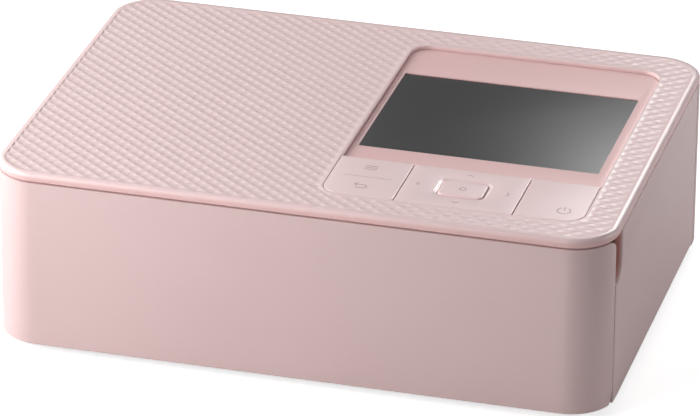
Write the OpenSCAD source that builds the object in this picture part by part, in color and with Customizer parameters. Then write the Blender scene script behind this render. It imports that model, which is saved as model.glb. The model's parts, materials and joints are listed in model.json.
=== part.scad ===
// A compact photo printer: a low case with a hinged front cover, a hinged ink door,
// a textured top cover, a display with a row of keys, and the print mechanism inside.
// +X is to the right, the front faces -Y, +Z is up, and the origin is on the table
// under the middle of the case. Millimetres.

/* [Case] */
// Width of the case, left to right
body_w = 182.2; // [181:0.1:196]
// Depth of the case, front to back
body_d = 133; // [132:0.1:144]
// Height over all, from the table to the top
body_h = 57.6; // [57.4:0.1:64]
// Plan radius of the four upright corners
corner_r = 13.2; // [12:0.1:14.5]
// Thickness of the case walls
wall = 2.2; // [1.9:0.05:2.5]
// Height of the case above the table
foot_h = 2.3; // [1.9:0.1:2.5]
// Thickness of the base tray's floor
floor_t = 2; // [1.6:0.1:2.2]
// Height of the top cover's rim
rim_h = 2.7; // [2.4:0.1:3]
// Thickness of the top cover's top wall
top_t = 2; // [1.8:0.1:2.2]
// Height of the dark seam under the top cover
seam_gap = 0.5; // [0.3:0.05:0.6]
// Gap between a hinged cover and its neighbours
door_gap = 0.4; // [0.3:0.05:0.5]
// Rounding of the top edge at the front and sides
edge_r = 1.6; // [1:0.1:2]
// Reach of the larger rounding along the rear top edge
rear_edge = 5.1; // [3:0.1:6]
// Thickness of the top cover's inner lip
lip_t = 1; // [0.8:0.1:1.2]
// Depth of the lip below the rim
lip_h = 2; // [1.5:0.1:2.5]

/* [Front cover and ink door] */
// Depth of the front cover's corners, from the front face to their rear edge
cheek_d = 10.4; // [9.6:0.1:11]
// Height of the covers' lower edges above the underside
cover_lift = 0.6; // [0.5:0.1:0.8]
// Distance from the rear face to the ink door's rear edge
door_end = 14.7; // [14:0.1:18]
// Radius of the finger groove
groove_r = 8.5; // [7.5:0.1:9]
// Height of the finger groove's round end below the seam
groove_h = 7.7; // [6:0.1:9]
// Rounding of the front cover's upper rear corners
cheek_r = 3; // [2:0.1:4]

/* [Hinges] */
// Radius of the hinge pins
pin_r = 1.2; // [1:0.05:1.3]
// Radial clearance of a pin in its arm
pin_clear = 0.05; // [0.03:0.01:0.08]
// Plastic around a pin
arm_wall = 1; // [0.9:0.05:1.2]
// Height of the hinge pins above the covers' lower edges
hinge_rise = 3.8; // [3.6:0.1:4.2]
// Width of a hinge arm
arm_w = 4; // [3:0.5:5]
// Width of a cover's hinge lug
lug_w = 3; // [2:0.5:4]
// Half the distance between the front cover's hinge arms
front_arm_x = 68; // [67:0.5:72]
// Half the distance between the ink door's hinge arms
door_arm_y = 36; // [30:0.5:38]

/* [Control panel] */
// Left edge of the panel's cut-out in the top cover
panel_x0 = 4; // [3:0.1:5]
// Width of the cut-out
panel_w = 76.3; // [76:0.1:77]
// Distance of the cut-out's front edge behind the front face
panel_front = 11.5; // [11:0.1:12]
// Depth of the cut-out, front to back
panel_d = 107; // [106:0.1:110]
// Corner radius of the cut-out
panel_r = 6; // [4:0.1:7]
// Depth of the key row, front to back
keys_d = 25; // [24:0.1:25.5]
// Depth of the glossy surround below the top
bezel_drop = 1.1; // [0.9:0.1:1.2]
// Width of the screen
screen_w = 71.1; // [70:0.1:72]
// Height of the screen, front to back
screen_d = 53.2; // [52:0.1:54]
// Distance from the cut-out's left edge to the screen
screen_dx = 2.1; // [1.8:0.1:2.4]
// Distance from the key row to the screen
screen_dy = 10; // [9:0.1:11]
// Width of the left key
left_key_w = 21.4; // [20:0.1:23]
// Width of the four-way pad
pad_w = 34.5; // [33:0.1:35]
// Thickness of the key caps
key_t = 1.8; // [1.6:0.1:1.9]
// Gap around the key caps
key_gap = 0.2; // [0.15:0.01:0.3]
// Width of the middle key
ok_w = 13.3; // [12:0.1:14]
// Depth of the middle key
ok_d = 9.5; // [9:0.1:10.5]
// Travel that a key has before it meets its switch
key_travel = 0.5; // [0.45:0.01:0.6]

/* [Print mechanism] */
// Centre of the paper path, left to right
mech_x = -2; // [-2.5:0.1:-1.5]
// Width between the two side plates
mech_w = 122.5; // [122:0.1:123]
// Thickness of the side plates
plate_t = 1.5; // [1.2:0.1:1.6]
// Printed width of the paper
paper_w = 100; // [98:1:101]
// Height of the paper path above the tray's floor
path_h = 24.7; // [24.5:0.1:24.8]
// Distance of the feed roller in front of the rear face
feed_in = 16.5; // [16.2:0.1:17]
// Radius of the feed roller
feed_r = 5; // [4.6:0.1:5.2]
// Radius of the pinch roller
pinch_r = 3; // [2.6:0.1:3.1]
// Radius of the platen roller
platen_r = 7; // [6.5:0.1:7.2]
// Distance of the platen roller in front of the feed roller
platen_dy = 32; // [31.5:0.1:32.5]
// Radius of the pick-up roller
pickup_r = 6.5; // [6:0.1:6.6]
// Distance of the pick-up roller in front of the feed roller
pickup_dy = 72; // [71:0.1:73]
// Height of the pick-up roller above the paper path
pickup_dz = 6; // [5.8:0.1:6.5]
// Radius of the rollers' shafts
shaft_r = 2.5; // [2.2:0.1:2.6]
// Radial clearance of a shaft in its bush
shaft_clear = 0.05; // [0.03:0.01:0.08]
// Wall of a bush
bush_t = 1.2; // [1:0.1:1.5]

/* [Gears] */
// Gear module
gear_m = 0.6; // [0.58:0.01:0.6]
// Teeth of the feed roller's gear
n_feed = 36; // [34:1:36]
// Teeth of the reduction gear's wheel
n_wheel = 40; // [38:1:40]
// Teeth of the reduction gear's pinion
n_small = 16; // [15:1:16]
// Teeth of the take-up gear
n_take = 24; // [23:1:24]
// Teeth of a motor pinion
n_motor = 12; // [12:1:13]
// Teeth of the pick-up gear
n_pick = 44; // [42:1:44]
// Face width of a gear
gear_t = 3; // [2.6:0.1:3.1]
// Backlash of a gear pair
backlash = 0.16; // [0.12:0.01:0.2]

/* [Ink cassette] */
// Outer radius of the cassette's tubes
tube_r = 8.5; // [8.2:0.1:8.6]
// Wall of the tubes
tube_t = 1.2; // [1:0.1:1.4]
// Distance between the two spools
spool_pitch = 41; // [40.5:0.1:41.5]
// Height of the spools above the paper path
spool_dz = 10.4; // [10.2:0.1:10.5]
// Radius of the full supply roll
supply_r = 6.4; // [5.5:0.1:6.6]
// Radius of the take-up roll
takeup_r = 4.6; // [4:0.1:5.5]
// Length of the cassette's grip beyond the side plate
grip_l = 9; // [7:0.5:11]

/* [Print head] */
// Distance of the head's pivot behind the feed roller
pivot_dy = 6; // [5.5:0.1:6.5]
// Height of the head's pivot above the paper path
pivot_dz = 15; // [14.5:0.1:15.5]
// Radius of the pivot shaft
pivot_r = 2; // [1.8:0.1:2.2]
// Height of the raised head above the paper path
head_up = 4.4; // [4.2:0.1:4.6]
// Depth of the heat sink, front to back
sink_d = 17; // [14:0.5:17]
// Number of heat sink fins
fins = 7; // [5:1:7]

/* [Feet and screws] */
// Radius of the rubber feet
foot_r = 6.5; // [5:0.5:7]
// Depth of a foot's seat in the tray
foot_seat = 1; // [0.8:0.1:1.2]
// Distance of the feet from the middle, left and right
foot_x = 70; // [66:0.5:72]
// Distance of the feet from the front and rear faces
foot_in = 26; // [25:0.5:30]
// Radius of the case screws
screw_r = 1.2; // [1.1:0.05:1.4]
// Radius of the case screws' heads
screw_head = 2.6; // [2.3:0.1:2.8]

/* [Hidden] */

// Case levels and faces
hw = body_w / 2;
hd = body_d / 2;
floor_z = foot_h + floor_t;
rim_z = body_h - rim_h;
panel_top = rim_z - seam_gap;
cover_z = foot_h + cover_lift;
ceiling_z = body_h - top_t;
fit = 0.2;
lip_in = wall + fit;
arc_n = 16;
over = 1;

// Covers and hinges
seam_y = -hd + cheek_d;
door_y0 = seam_y + door_gap;
door_y1 = hd - door_end;
arm_r = pin_r + arm_wall;
bore_r = pin_r + pin_clear;
hinge_in = wall + arm_r + fit;
hinge_z = cover_z + hinge_rise;
front_hinge_y = -hd + hinge_in;
door_hinge_x = hw - hinge_in;
sweep_r = norm([hinge_in, hinge_rise]);
tray_y0 = front_hinge_y + sweep_r + 2 * fit;
tray_x1 = door_hinge_x - sweep_r - 2 * fit;
trim_r = cheek_d - hinge_in - fit;
arm_reach = sweep_r + 7;
lug_x = arm_w / 2 + door_gap;
groove_out = 4.2;
notch_front = 3.6;
notch_rear = 10.4;
groove_z = panel_top - groove_h;
panel_t = 2;

// Catches of the hinged covers, which snap under the top cover's lip
catch_z = rim_z - lip_h - 0.1;
catch_at = hd - 21.5;

// Control panel
panel_y0 = -hd + panel_front;
panel_y1 = panel_y0 + panel_d;
panel_x1 = panel_x0 + panel_w;
keys_y1 = panel_y0 + keys_d;
keys_cy = (panel_y0 + keys_y1) / 2;
bezel_z = body_h - bezel_drop;
frame_edge = 2;
key_z = body_h - key_t;
key_bed = key_z - 0.8;
bed_t = 1;
tip_z = key_bed - bed_t - fit;
switch_top = tip_z - key_travel;
switch_h = 0.8;
board_t = 0.8;
key_board_z = switch_top - switch_h - board_t;
screen_x0 = panel_x0 + screen_dx;
screen_y0 = keys_y1 + screen_dy;
lcd_t = 2.6;
lcd_z = ceiling_z - bed_t - 0.1 - lcd_t;
pad_x0 = panel_x0 + key_gap + left_key_w + 2 * key_gap;
pad_x1 = pad_x0 + pad_w - 2 * key_gap;
pad_cx = (pad_x0 + pad_x1) / 2;
left_cx = panel_x0 + key_gap + left_key_w / 2;
ok_r = 1.8;
plunger_r = 1.2;
rock_dy = 7.5;
nav_dx = 12.6;
nav_dy = 8;
power_x = panel_x1 - 6.5;
power_y = keys_cy - 6;

// Print mechanism, seen from the left: y back, z up
left_x = mech_x - mech_w / 2;
right_x = mech_x + mech_w / 2;
path_z = floor_z + path_h;
feed_y = hd - feed_in;
feed_z = path_z - feed_r;
nip = 0.2;
pinch_z = path_z + nip + pinch_r;
pinch_shaft_r = 1.3;
platen_y = feed_y - platen_dy;
platen_z = path_z - platen_r;
pickup_y = feed_y - pickup_dy;
pickup_z = path_z + pickup_dz;
spool_z = path_z + spool_dz;
bush_r = shaft_r + shaft_clear + bush_t;
flange_t = 0.8;
guide_y0 = platen_y - 24 + fit;
plate_y0 = pickup_y - 9;
plate_y1 = feed_y + 12;
plate_z1 = lcd_z - 0.4;
bay_rail = 2;
bay_h = path_h - 1.5;

// Gear centres: each gear stands at its pitch distance from the one that drives it
function pitch_r(n) = gear_m * n / 2;
function away(c, a, d) = [c[0] + d * cos(a), c[1] + d * sin(a)];
feed_c = [feed_y, feed_z];
wheel_ang = 205;
wheel_c = away(feed_c, wheel_ang, pitch_r(n_feed) + pitch_r(n_small));
motor_ang = 160;
motor_c = away(wheel_c, motor_ang, pitch_r(n_wheel) + pitch_r(n_motor));
take_d = pitch_r(n_feed) + pitch_r(n_take);
take_ang = 180 - asin((spool_z - feed_z) / take_d);
take_c = away(feed_c, take_ang, take_d);
supply_c = [take_c[0] - spool_pitch, take_c[1]];
pick_c = [pickup_y, pickup_z];
pick_motor_ang = 315;
pick_motor_c = away(pick_c, pick_motor_ang, pitch_r(n_pick) + pitch_r(n_motor));
// Turn of a gear that meshes with one turned by phase a along the direction t
function mesh_turn(t, a, na, nb) = t + 180 + ((t - a) * na / 360 - 0.5) * 360 / nb;
small_turn = mesh_turn(wheel_ang, 0, n_feed, n_small);
motor_turn = mesh_turn(motor_ang, 0, n_wheel, n_motor);
take_turn = mesh_turn(take_ang, 0, n_feed, n_take);
pick_motor_turn = mesh_turn(pick_motor_ang, 0, n_pick, n_motor);
gear_gap = 0.6;
bracket_t = 1.2;
layer_b = left_x - plate_t - 1.2 - gear_t;
layer_a = layer_b - gear_gap - gear_t;
bracket_x = layer_a - 1.6 - bracket_t;
motor_r = 10;
motor_l = 12.4;

// Print head
pivot_y = feed_y + pivot_dy;
pivot_z = path_z + pivot_dz;
head_plate_z = spool_z + tube_r + 1.6;
head_plate_t = 1.4;
sink_y0 = platen_y - sink_d / 2;
sink_z0 = path_z + head_up + 1.6;
head_w = paper_w + 4;
head_d = 9;
bead_r = 0.7;
spring_x = head_w / 2 - head_plate_t - 3.6;

// Ink cassette
cassette_x0 = left_x + 0.4;
cassette_end = 2.6;
cassette_x1 = right_x + plate_t + 0.6;
window_x0 = cassette_x0 + cassette_end;
window_x1 = cassette_x1 - cassette_end;
journal_r = 2;

// Boards and sockets
board_z = floor_z + 2;
board_y0 = platen_y - 15;
board_y1 = hd - wall - 6;
cross_t = 1.1;
jack_x = hw - 19.1;
jack_z = 12;
usb_c_x = hw - 51.1;
usb_c_z = board_z + board_t + 1.7;
card_y = -hd + 60.5;
card_w = 25;
card_z = floor_z + 1.2;
usb_y = hd - 23.5;
usb_z = floor_z + 7;

vent_w = 1.4;
vent_pitch = 3;

// Posts of the top cover that the screws hold: left front, left rear, right rear
post_r = 3.2;
post_in = 8.2;
post_behind = 7;
post_z = floor_z + 1.5;
posts = [[-hw + post_in, seam_y + post_behind], [-hw + post_in, hd - post_in - 1],
    [hw - post_in, hd - post_in - 1]];
// Boss on the inner panel's back for the fourth screw
boss = [tray_x1 - post_r - 1, tray_y0 + fit + panel_t + post_r - 0.5];
boss_h = 16;
screw_seat = foot_h + 1.6;
screws = concat(posts, [boss]);
screw_l = 10;

// Slot for a security lock in the left wall
lock_y = hd - 26.5;
lock_z = floor_z + 21.3;
lock_w = 7;
lock_h = 3.2;

// An arc of points about c from angle a0 to angle a1
function arc(c, r, a0, a1, n) =
    [for (i = [0:n]) let (a = a0 + (a1 - a0) * i / n) [c[0] + r * cos(a), c[1] + r * sin(a)]];

// A rectangle whose corners have their own radii: front left, front right, rear right, rear left
function rounded_box(x0, y0, x1, y1, r, n = 8) = concat(
    arc([x0 + r[0], y0 + r[0]], r[0], 180, 270, n),
    arc([x1 - r[1], y0 + r[1]], r[1], 270, 360, n),
    arc([x1 - r[2], y1 - r[2]], r[2], 0, 90, n),
    arc([x0 + r[3], y1 - r[3]], r[3], 90, 180, n));

// Involute angle at radius p of a gear with base radius b, in degrees
function inv_deg(p, b) = let (a = acos(min(1, b / p))) tan(a) * 180 / PI - a;

// Half the angle of a tooth at radius p
function tooth_half(n, p) = let (r = pitch_r(n), b = r * cos(20))
    (PI * gear_m / 2 - backlash / 2) / (2 * r) * 180 / PI + inv_deg(r, b) - inv_deg(max(p, b), b);

// The outline of a spur gear with n teeth, a tooth on the angle turn
function gear_points(n, turn) = let (r = pitch_r(n), b = r * cos(20), tip = r + 0.86 * gear_m,
        root = r - 1.2 * gear_m, low = max(b, root + 0.1), k = 4)
    [for (i = [0:n - 1], j = [0:2 * k + 3]) let (s = j < k + 2 ? -1 : 1,
        m = j < k + 2 ? j : 2 * k + 3 - j,
        p = m == 0 ? root : low + (tip - low) * (m - 1) / k,
        a = turn + i * 360 / n + s * tooth_half(n, p)) [p * cos(a), p * sin(a)]];

// The case's outline, moved in by i
function outline(i, rear = 0) = rounded_box(-hw + i, -hd + i, hw - i, hd - i - rear,
    [for (k = [0:3]) max(corner_r - i, 0.5)], arc_n);

module slab(i, z0, z1)
    translate([0, 0, z0]) linear_extrude(z1 - z0) polygon(outline(i));

module case_wall(z0, z1)
    difference() {
        slab(0, z0, z1);
        slab(wall, z0 - over, z1 + over);
    }

module plate(points, z0, z1)
    translate([0, 0, z0]) linear_extrude(z1 - z0) polygon(points);

module box(p0, p1) translate(p0) cube(p1 - p0);

// Children drawn in the y-z plane and carried along x from x0
module along_x(x0, l) translate([x0, 0, 0]) rotate([90, 0, 90]) linear_extrude(l) children();

// A rod along x, y or z
module rod_x(c, r, x0, x1, n = 48)
    translate([x0, c[0], c[1]]) rotate([0, 90, 0]) cylinder(r = r, h = x1 - x0, $fn = n);
module rod_y(x, z, r, y0, y1, n = 48)
    translate([x, y1, z]) rotate([90, 0, 0]) cylinder(r = r, h = y1 - y0, $fn = n);
module rod_z(x, y, r, z0, z1, n = 48)
    translate([x, y, z0]) cylinder(r = r, h = z1 - z0, $fn = n);

module gear(n, c, turn, x0)
    translate([0, c[0], c[1]]) along_x(x0, gear_t) polygon(gear_points(n, turn));

// One hinge arm on the x axis's pin line: y and z are measured from the pin
module hinge_arm(reach)
    difference() {
        union() {
            rod_x([0, 0], arm_r, -arm_w / 2, arm_w / 2);
            box([-arm_w / 2, 0, -arm_r + 0.1], [arm_w / 2, reach, arm_r - 0.1]);
            box([-arm_w / 2, sweep_r + 3 * fit, -hinge_z + floor_z - 0.4],
                [arm_w / 2, reach, 0]);
        }
        rod_x([0, 0], bore_r, -arm_w, arm_w);
    }

module hinge_lug(x0)
    difference() {
        box([x0, -hinge_in + wall - 0.2, -arm_r + 0.3], [x0 + lug_w, arm_r - 0.4, arm_r - 0.3]);
        rod_x([0, 0], pin_r, x0 - over, x0 + lug_w + over);
    }

// Places a front hinge part: x from the middle, y back from the pin, z up from it
module at_front_hinge(x) translate([x, front_hinge_y, hinge_z]) children();
// Places an ink door hinge part: its x runs along the case's y, its y points inwards
module at_door_hinge(y) translate([door_hinge_x, y, hinge_z]) rotate([0, 0, 90]) children();

module base_tray() color([0.62, 0.52, 0.52]) difference() {
    union() {
        intersection() {
            slab(wall + fit, foot_h, floor_z);
            box([-body_w, tray_y0, 0], [tray_x1, body_d, body_h]);
        }
        for (s = [-1, 1]) {
            at_front_hinge(s * front_arm_x) hinge_arm(arm_reach);
            at_door_hinge(s * door_arm_y) hinge_arm(arm_reach);
        }
        intersection() {
            slab(wall + fit, foot_h, floor_z);
            box([0, door_y1 + door_gap, 0], [body_w, body_d, body_h]);
        }
        for (p = screws) rod_z(p[0], p[1], post_r, floor_z - 0.5, post_z);
        box([jack_x - 6, hd - 16, floor_z - 0.5], [jack_x + 6, hd - wall - fit, jack_z - 4.8]);
        box([-hw + wall + fit, usb_y - 8, floor_z - 0.5], [bracket_x - 1.4, usb_y + 8, usb_z - 3.1]);
        box([-hw + wall + fit, card_y - card_w / 2 - 2, floor_z - 0.5],
            [left_x - 0.3, card_y + card_w / 2 + 2, card_z]);
    }
    for (p = screws) {
        rod_z(p[0], p[1], screw_r + 0.3, foot_h - over, post_z + over);
        rod_z(p[0], p[1], screw_head + 0.3, foot_h - over, screw_seat);
    }
    for (x = [-foot_x, foot_x], y = [-hd + foot_in, hd - foot_in])
        rod_z(x, y, foot_r + fit, foot_h - over, foot_h + foot_seat);
    for (i = [-4:4])
        box([mech_x + i * 6 - 1.2, platen_y + 6, foot_h - over],
            [mech_x + i * 6 + 1.2, platen_y + 26, floor_z + over]);
}

module rear_case() color([0.88, 0.74, 0.74]) difference() {
    case_wall(foot_h, panel_top);
    box([-body_w, -body_d, 0], [body_w, door_y0, body_h]);
    box([0, -body_d, 0], [body_w, door_y1 + door_gap, body_h]);
    box([mech_x - paper_w / 2 - 4, hd - wall - over, path_z - 2.5],
        [mech_x + paper_w / 2 + 4, hd + over, path_z + 3.8]);
    for (i = [0:6], s = [-1, 1])
        translate([s * (58 + i * vent_pitch), 0, 0])
            box([-vent_w / 2, hd - wall - over, path_z + 6], [vent_w / 2, hd + over, path_z + 18]);
    rod_y(jack_x, jack_z, 4, hd - wall - over, hd + over);
    box([usb_c_x - 4.8, hd - wall - over, usb_c_z - 1.8], [usb_c_x + 4.8, hd + over, usb_c_z + 1.8]);
    box([-hw - over, card_y - card_w / 2, card_z + 0.4],
        [-hw + wall + over, card_y + card_w / 2, card_z + 3]);
    box([-hw - over, usb_y - 6.8, usb_z - 3], [-hw + wall + over, usb_y + 6.8, usb_z + 3]);
    box([-hw - over, lock_y - lock_w / 2, lock_z - lock_h / 2],
        [-hw + wall + over, lock_y + lock_w / 2, lock_z + lock_h / 2]);
}

// Panel behind the front cover, with the mouth and the side rails of the paper bay
module front_inner_panel() color([0.42, 0.36, 0.37]) difference() {
    union() {
        intersection() {
            slab(wall + fit, floor_z, rim_z - lip_h - fit);
            box([-body_w, tray_y0 + fit, 0], [tray_x1, tray_y0 + fit + panel_t, body_h]);
        }
        for (x = [left_x, right_x - bay_rail])
            box([x, tray_y0 + fit, floor_z], [x + bay_rail, guide_y0 - fit, floor_z + bay_h]);
        rod_z(boss[0], boss[1], post_r, post_z + fit, post_z + boss_h);
    }
    box([left_x + bay_rail, -body_d, floor_z - over],
        [right_x - bay_rail, tray_y0 + panel_t + over, floor_z + bay_h + 8]);
    for (s = [-1, 1])
        box([s * front_arm_x - arm_w / 2 - fit, -body_d, 0],
            [s * front_arm_x + arm_w / 2 + fit, body_d, hinge_z + arm_r + fit]);
    rod_z(boss[0], boss[1], screw_r + shaft_clear, floor_z, post_z + screw_l + 2);
    rod_z(boss[0], boss[1], post_r + fit, 0, post_z + fit);
}

// A solid through level rings of points, each ring counterclockwise seen from above
module loft(rings) {
    n = len(rings[0]);
    sides = [for (i = [0:len(rings) - 2], j = [0:n - 1])
        let (a = i * n + j, b = i * n + (j + 1) % n) each [[a, a + n, b + n], [a, b + n, b]]];
    low = [for (j = [0:n - 1]) j];
    high = [for (j = [n - 1:-1:0]) (len(rings) - 1) * n + j];
    polyhedron([for (r = rings) each r], concat(sides, [low, high]));
}

// The top cover's outer form: level rings whose edges follow a quarter of an ellipse
rear_drop = rim_h - 0.2;
function side_in(z) = let (t = max(0, (z - body_h + edge_r) / edge_r))
    edge_r * (1 - sqrt(max(0, 1 - t * t)));
function rear_in(z) = let (t = max(0, (z - body_h + rear_drop) / rear_drop))
    rear_edge * (1 - sqrt(max(0, 1 - t * t)));
module top_form() {
    levels = concat([rim_z], [for (a = [0:15:90]) body_h - rear_drop + rear_drop * sin(a)]);
    loft([for (z = levels) [for (p = outline(side_in(z), rear_in(z) - side_in(z))) [p[0], p[1], z]]]);
}

module top_cover() color([0.88, 0.78, 0.78]) difference() {
    union() {
        difference() {
            top_form();
            slab(lip_in + lip_t, rim_z - over, ceiling_z);
        }
        difference() {
            slab(lip_in, rim_z - lip_h, rim_z + 0.2);
            slab(lip_in + lip_t, rim_z - lip_h - over, rim_z + over);
        }
        for (p = posts) rod_z(p[0], p[1], post_r, post_z + fit, ceiling_z + 0.2);
    }
    plate(rounded_box(panel_x0, panel_y0, panel_x1, panel_y1, [panel_r, panel_r, panel_r, panel_r]),
        ceiling_z - over, body_h + over);
    for (p = posts) rod_z(p[0], p[1], screw_r + shaft_clear, floor_z, post_z + screw_l + 2);
    box([hw - lip_in - 2 * lip_t, seam_y - notch_front, rim_z - lip_h - over],
        [hw, seam_y + notch_rear, rim_z]);
}

module front_cover() color([0.86, 0.73, 0.73]) difference() {
    union() {
        intersection() {
            case_wall(cover_z, panel_top);
            box([-body_w, -body_d, 0], [body_w, seam_y, body_h]);
        }
        at_front_hinge(front_arm_x) hinge_lug(lug_x);
        at_front_hinge(-front_arm_x) hinge_lug(-lug_x - lug_w);
        for (x = [-catch_at, catch_at])
            box([x - 3, -hd + wall - 0.2, catch_z - 1.8], [x + 3, -hd + wall + 1.6, catch_z]);
    }
    at_front_hinge(0) difference() {
        box([-body_w, 0, -hinge_z], [body_w, cheek_d, 0]);
        rod_x([0, 0], trim_r, -body_w, body_w, 64);
    }
    translate([0, seam_y - cheek_r, panel_top - cheek_r]) difference() {
        box([-body_w, 0, 0], [body_w, cheek_r + over, cheek_r + over]);
        rod_x([0, 0], cheek_r, -body_w, body_w, 64);
    }
}

module front_hinge_pins() color("silver") {
    pin_l = arm_w + door_gap + lug_w;
    at_front_hinge(front_arm_x) rod_x([0, 0], pin_r, -arm_w / 2, pin_l - arm_w / 2);
    at_front_hinge(-front_arm_x) rod_x([0, 0], pin_r, arm_w / 2 - pin_l, arm_w / 2);
}

module ink_hinge_pins() color("silver") {
    pin_l = arm_w + door_gap + lug_w;
    at_door_hinge(door_arm_y) rod_x([0, 0], pin_r, -arm_w / 2, pin_l - arm_w / 2);
    at_door_hinge(-door_arm_y) rod_x([0, 0], pin_r, arm_w / 2 - pin_l, arm_w / 2);
}

// The space of the finger groove: an upright round form with a round end
module groove_form() translate([hw + groove_out, seam_y - 0.3, groove_z])
    rotate_extrude($fn = 64) polygon(concat([[0, body_h]], arc([0, 0], groove_r, -90, 0, 9),
        [[groove_r, body_h]]));

module ink_door() color([0.80, 0.68, 0.69]) difference() {
    union() {
        intersection() {
            case_wall(cover_z, panel_top);
            box([tray_x1, door_y0, 0], [body_w, door_y1, body_h]);
        }
        box([hw - groove_r + groove_out - 1.6, door_y0, groove_z - groove_r + 1],
            [hw - wall / 2, door_y0 + groove_r - 1, panel_top]);
        at_door_hinge(door_arm_y) hinge_lug(lug_x);
        at_door_hinge(-door_arm_y) hinge_lug(-lug_x - lug_w);
        for (y = [0, catch_at - 6])
            box([hw - wall - 1.6, y - 3, catch_z - 1.8], [hw - wall + 0.2, y + 3, catch_z]);
    }
    groove_form();
}

// Places of the key plungers: rocker, pad, middle key, power key
plungers = [[left_cx, keys_cy - rock_dy], [left_cx, keys_cy + rock_dy],
    [pad_cx - nav_dx, keys_cy], [pad_cx + nav_dx, keys_cy],
    [pad_cx, keys_cy - nav_dy], [pad_cx, keys_cy + nav_dy],
    [pad_cx, keys_cy], [power_x, power_y]];

module panel_frame() color([0.45, 0.40, 0.41]) difference() {
    union() {
        difference() {
            plate(rounded_box(panel_x0 - frame_edge, panel_y0 - frame_edge, panel_x1 + frame_edge,
                panel_y1 + frame_edge, [panel_r, panel_r, panel_r, panel_r]), key_bed - bed_t, ceiling_z);
            box([panel_x0, panel_y0, key_bed], [panel_x1, keys_y1, body_h]);
            box([panel_x0, keys_y1 + 1, 0], [panel_x1, panel_y1 - 1, ceiling_z - bed_t]);
        }
        rod_x([keys_cy, key_z - 0.5], 0.45, panel_x0 + 5, panel_x0 + left_key_w - 4, 24);
        for (x = [panel_x0 + 3, panel_x1 - 2], y = [panel_y0 + 5, keys_y1 - 4])
            rod_z(x, y, 1.4, key_board_z + board_t, key_bed - 0.3, 24);
    }
    for (p = plungers) rod_z(p[0], p[1], plunger_r + 0.3, 0, key_bed + 0.1, 24);
    box([screen_x0 + 1.4, screen_y0 + 1.4, 0],
        [screen_x0 + screen_w - 1.4, screen_y0 + screen_d - 1.4, body_h]);
}

module display_bezel() color([0.80, 0.66, 0.66]) difference() {
    plate(rounded_box(panel_x0 + key_gap, keys_y1, panel_x1 - key_gap, panel_y1 - key_gap,
        [0.4, 0.4, panel_r - key_gap, panel_r - key_gap]), ceiling_z, bezel_z);
    box([screen_x0, screen_y0, 0], [screen_x0 + screen_w, screen_y0 + screen_d, body_h]);
}

module display_glass() color([0.22, 0.22, 0.22])
    box([screen_x0 + 0.1, screen_y0 + 0.1, ceiling_z],
        [screen_x0 + screen_w - 0.1, screen_y0 + screen_d - 0.1, bezel_z - 0.3]);

module lcd_module() color([0.12, 0.12, 0.13])
    box([screen_x0 - 0.6, screen_y0 - 0.6, lcd_z],
        [screen_x0 + screen_w + 0.6, screen_y0 + screen_d + 0.6, lcd_z + lcd_t]);

module plunger(p) rod_z(p[0], p[1], plunger_r, tip_z, key_z + 0.1, 24);

key_y0 = panel_y0 + key_gap;
key_y1 = keys_y1 - key_gap;
module menu_back_rocker() color([0.86, 0.76, 0.76]) {
    plate(rounded_box(panel_x0 + key_gap, key_y0, panel_x0 + key_gap + left_key_w, key_y1,
        [panel_r - key_gap, 0.4, 0.4, 0.4]), key_z, body_h);
    plunger(plungers[0]);
    plunger(plungers[1]);
}

// A plate of half size a by b with corners r about the middle of the pad
module pad_plate(a, b, r, z0, z1)
    plate(rounded_box(pad_cx - a, keys_cy - b, pad_cx + a, keys_cy + b, [r, r, r, r]), z0, z1);

module nav_gimbal() color([0.35, 0.32, 0.33]) difference() {
    pad_plate(ok_w / 2 + 2.4, ok_d / 2 + 1.8, 3, key_bed + 0.25, key_bed + 0.5);
    pad_plate(ok_w / 2 + 0.5, ok_d / 2 + 0.5, 2, 0, body_h);
}

module nav_pad() color([0.86, 0.76, 0.76]) {
    difference() {
        plate(rounded_box(pad_x0, key_y0, pad_x1, key_y1, [0.4, 0.4, 0.4, 0.4]), key_z, body_h);
        pad_plate(ok_w / 2 + key_gap, ok_d / 2 + key_gap, ok_r + key_gap, 0, body_h + over);
    }
    for (i = [2:5]) plunger(plungers[i]);
}

module ok_button() color([0.86, 0.76, 0.76]) {
    pad_plate(ok_w / 2, ok_d / 2, ok_r, key_z, body_h);
    plunger(plungers[6]);
}

module power_button() color([0.86, 0.76, 0.76]) {
    plate(rounded_box(pad_x1 + 2 * key_gap, key_y0, panel_x1 - key_gap, key_y1,
        [0.4, panel_r - key_gap, 0.4, 0.4]), key_z, body_h);
    plunger(plungers[7]);
}

module key_board() color([0.12, 0.32, 0.20])
    box([panel_x0 + 0.5, panel_y0 + 2, key_board_z], [panel_x1 - 0.5, keys_y1 - 1.5, key_board_z + board_t]);

module key_switches() color([0.16, 0.16, 0.17]) for (p = plungers) {
    box([p[0] - 2.3, p[1] - 2.3, key_board_z + board_t], [p[0] + 2.3, p[1] + 2.3, switch_top - 0.3]);
    rod_z(p[0], p[1], 1, switch_top - 0.4, switch_top, 24);
}

platen_c = [platen_y, platen_z];
pinch_c = [feed_y, pinch_z];
pivot_c = [pivot_y, pivot_z];
roller_x0 = mech_x - paper_w / 2 - 2;
roller_x1 = mech_x + paper_w / 2 + 2;

// The cassette's end profile grown by g, in the y-z plane
module cassette_profile(g) {
    for (c = [supply_c, take_c]) translate(c) circle(r = tube_r + g, $fn = 64);
    translate([supply_c[0], spool_z - tube_r + 1 - g])
        square([spool_pitch, tube_r + 2 + 2 * g]);
}

latch_y = take_c[0] + tube_r + 1;
latch_travel = 3.5;
stud_y = latch_y + 6.2;
latch_l = 8.5;

// The gap that upright plates leave over the card socket
module card_gap(x0, x1)
    box([x0, card_y - card_w / 2 - 3, 0], [x1, card_y + card_w / 2 + 3, card_z + 4.8]);

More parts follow.
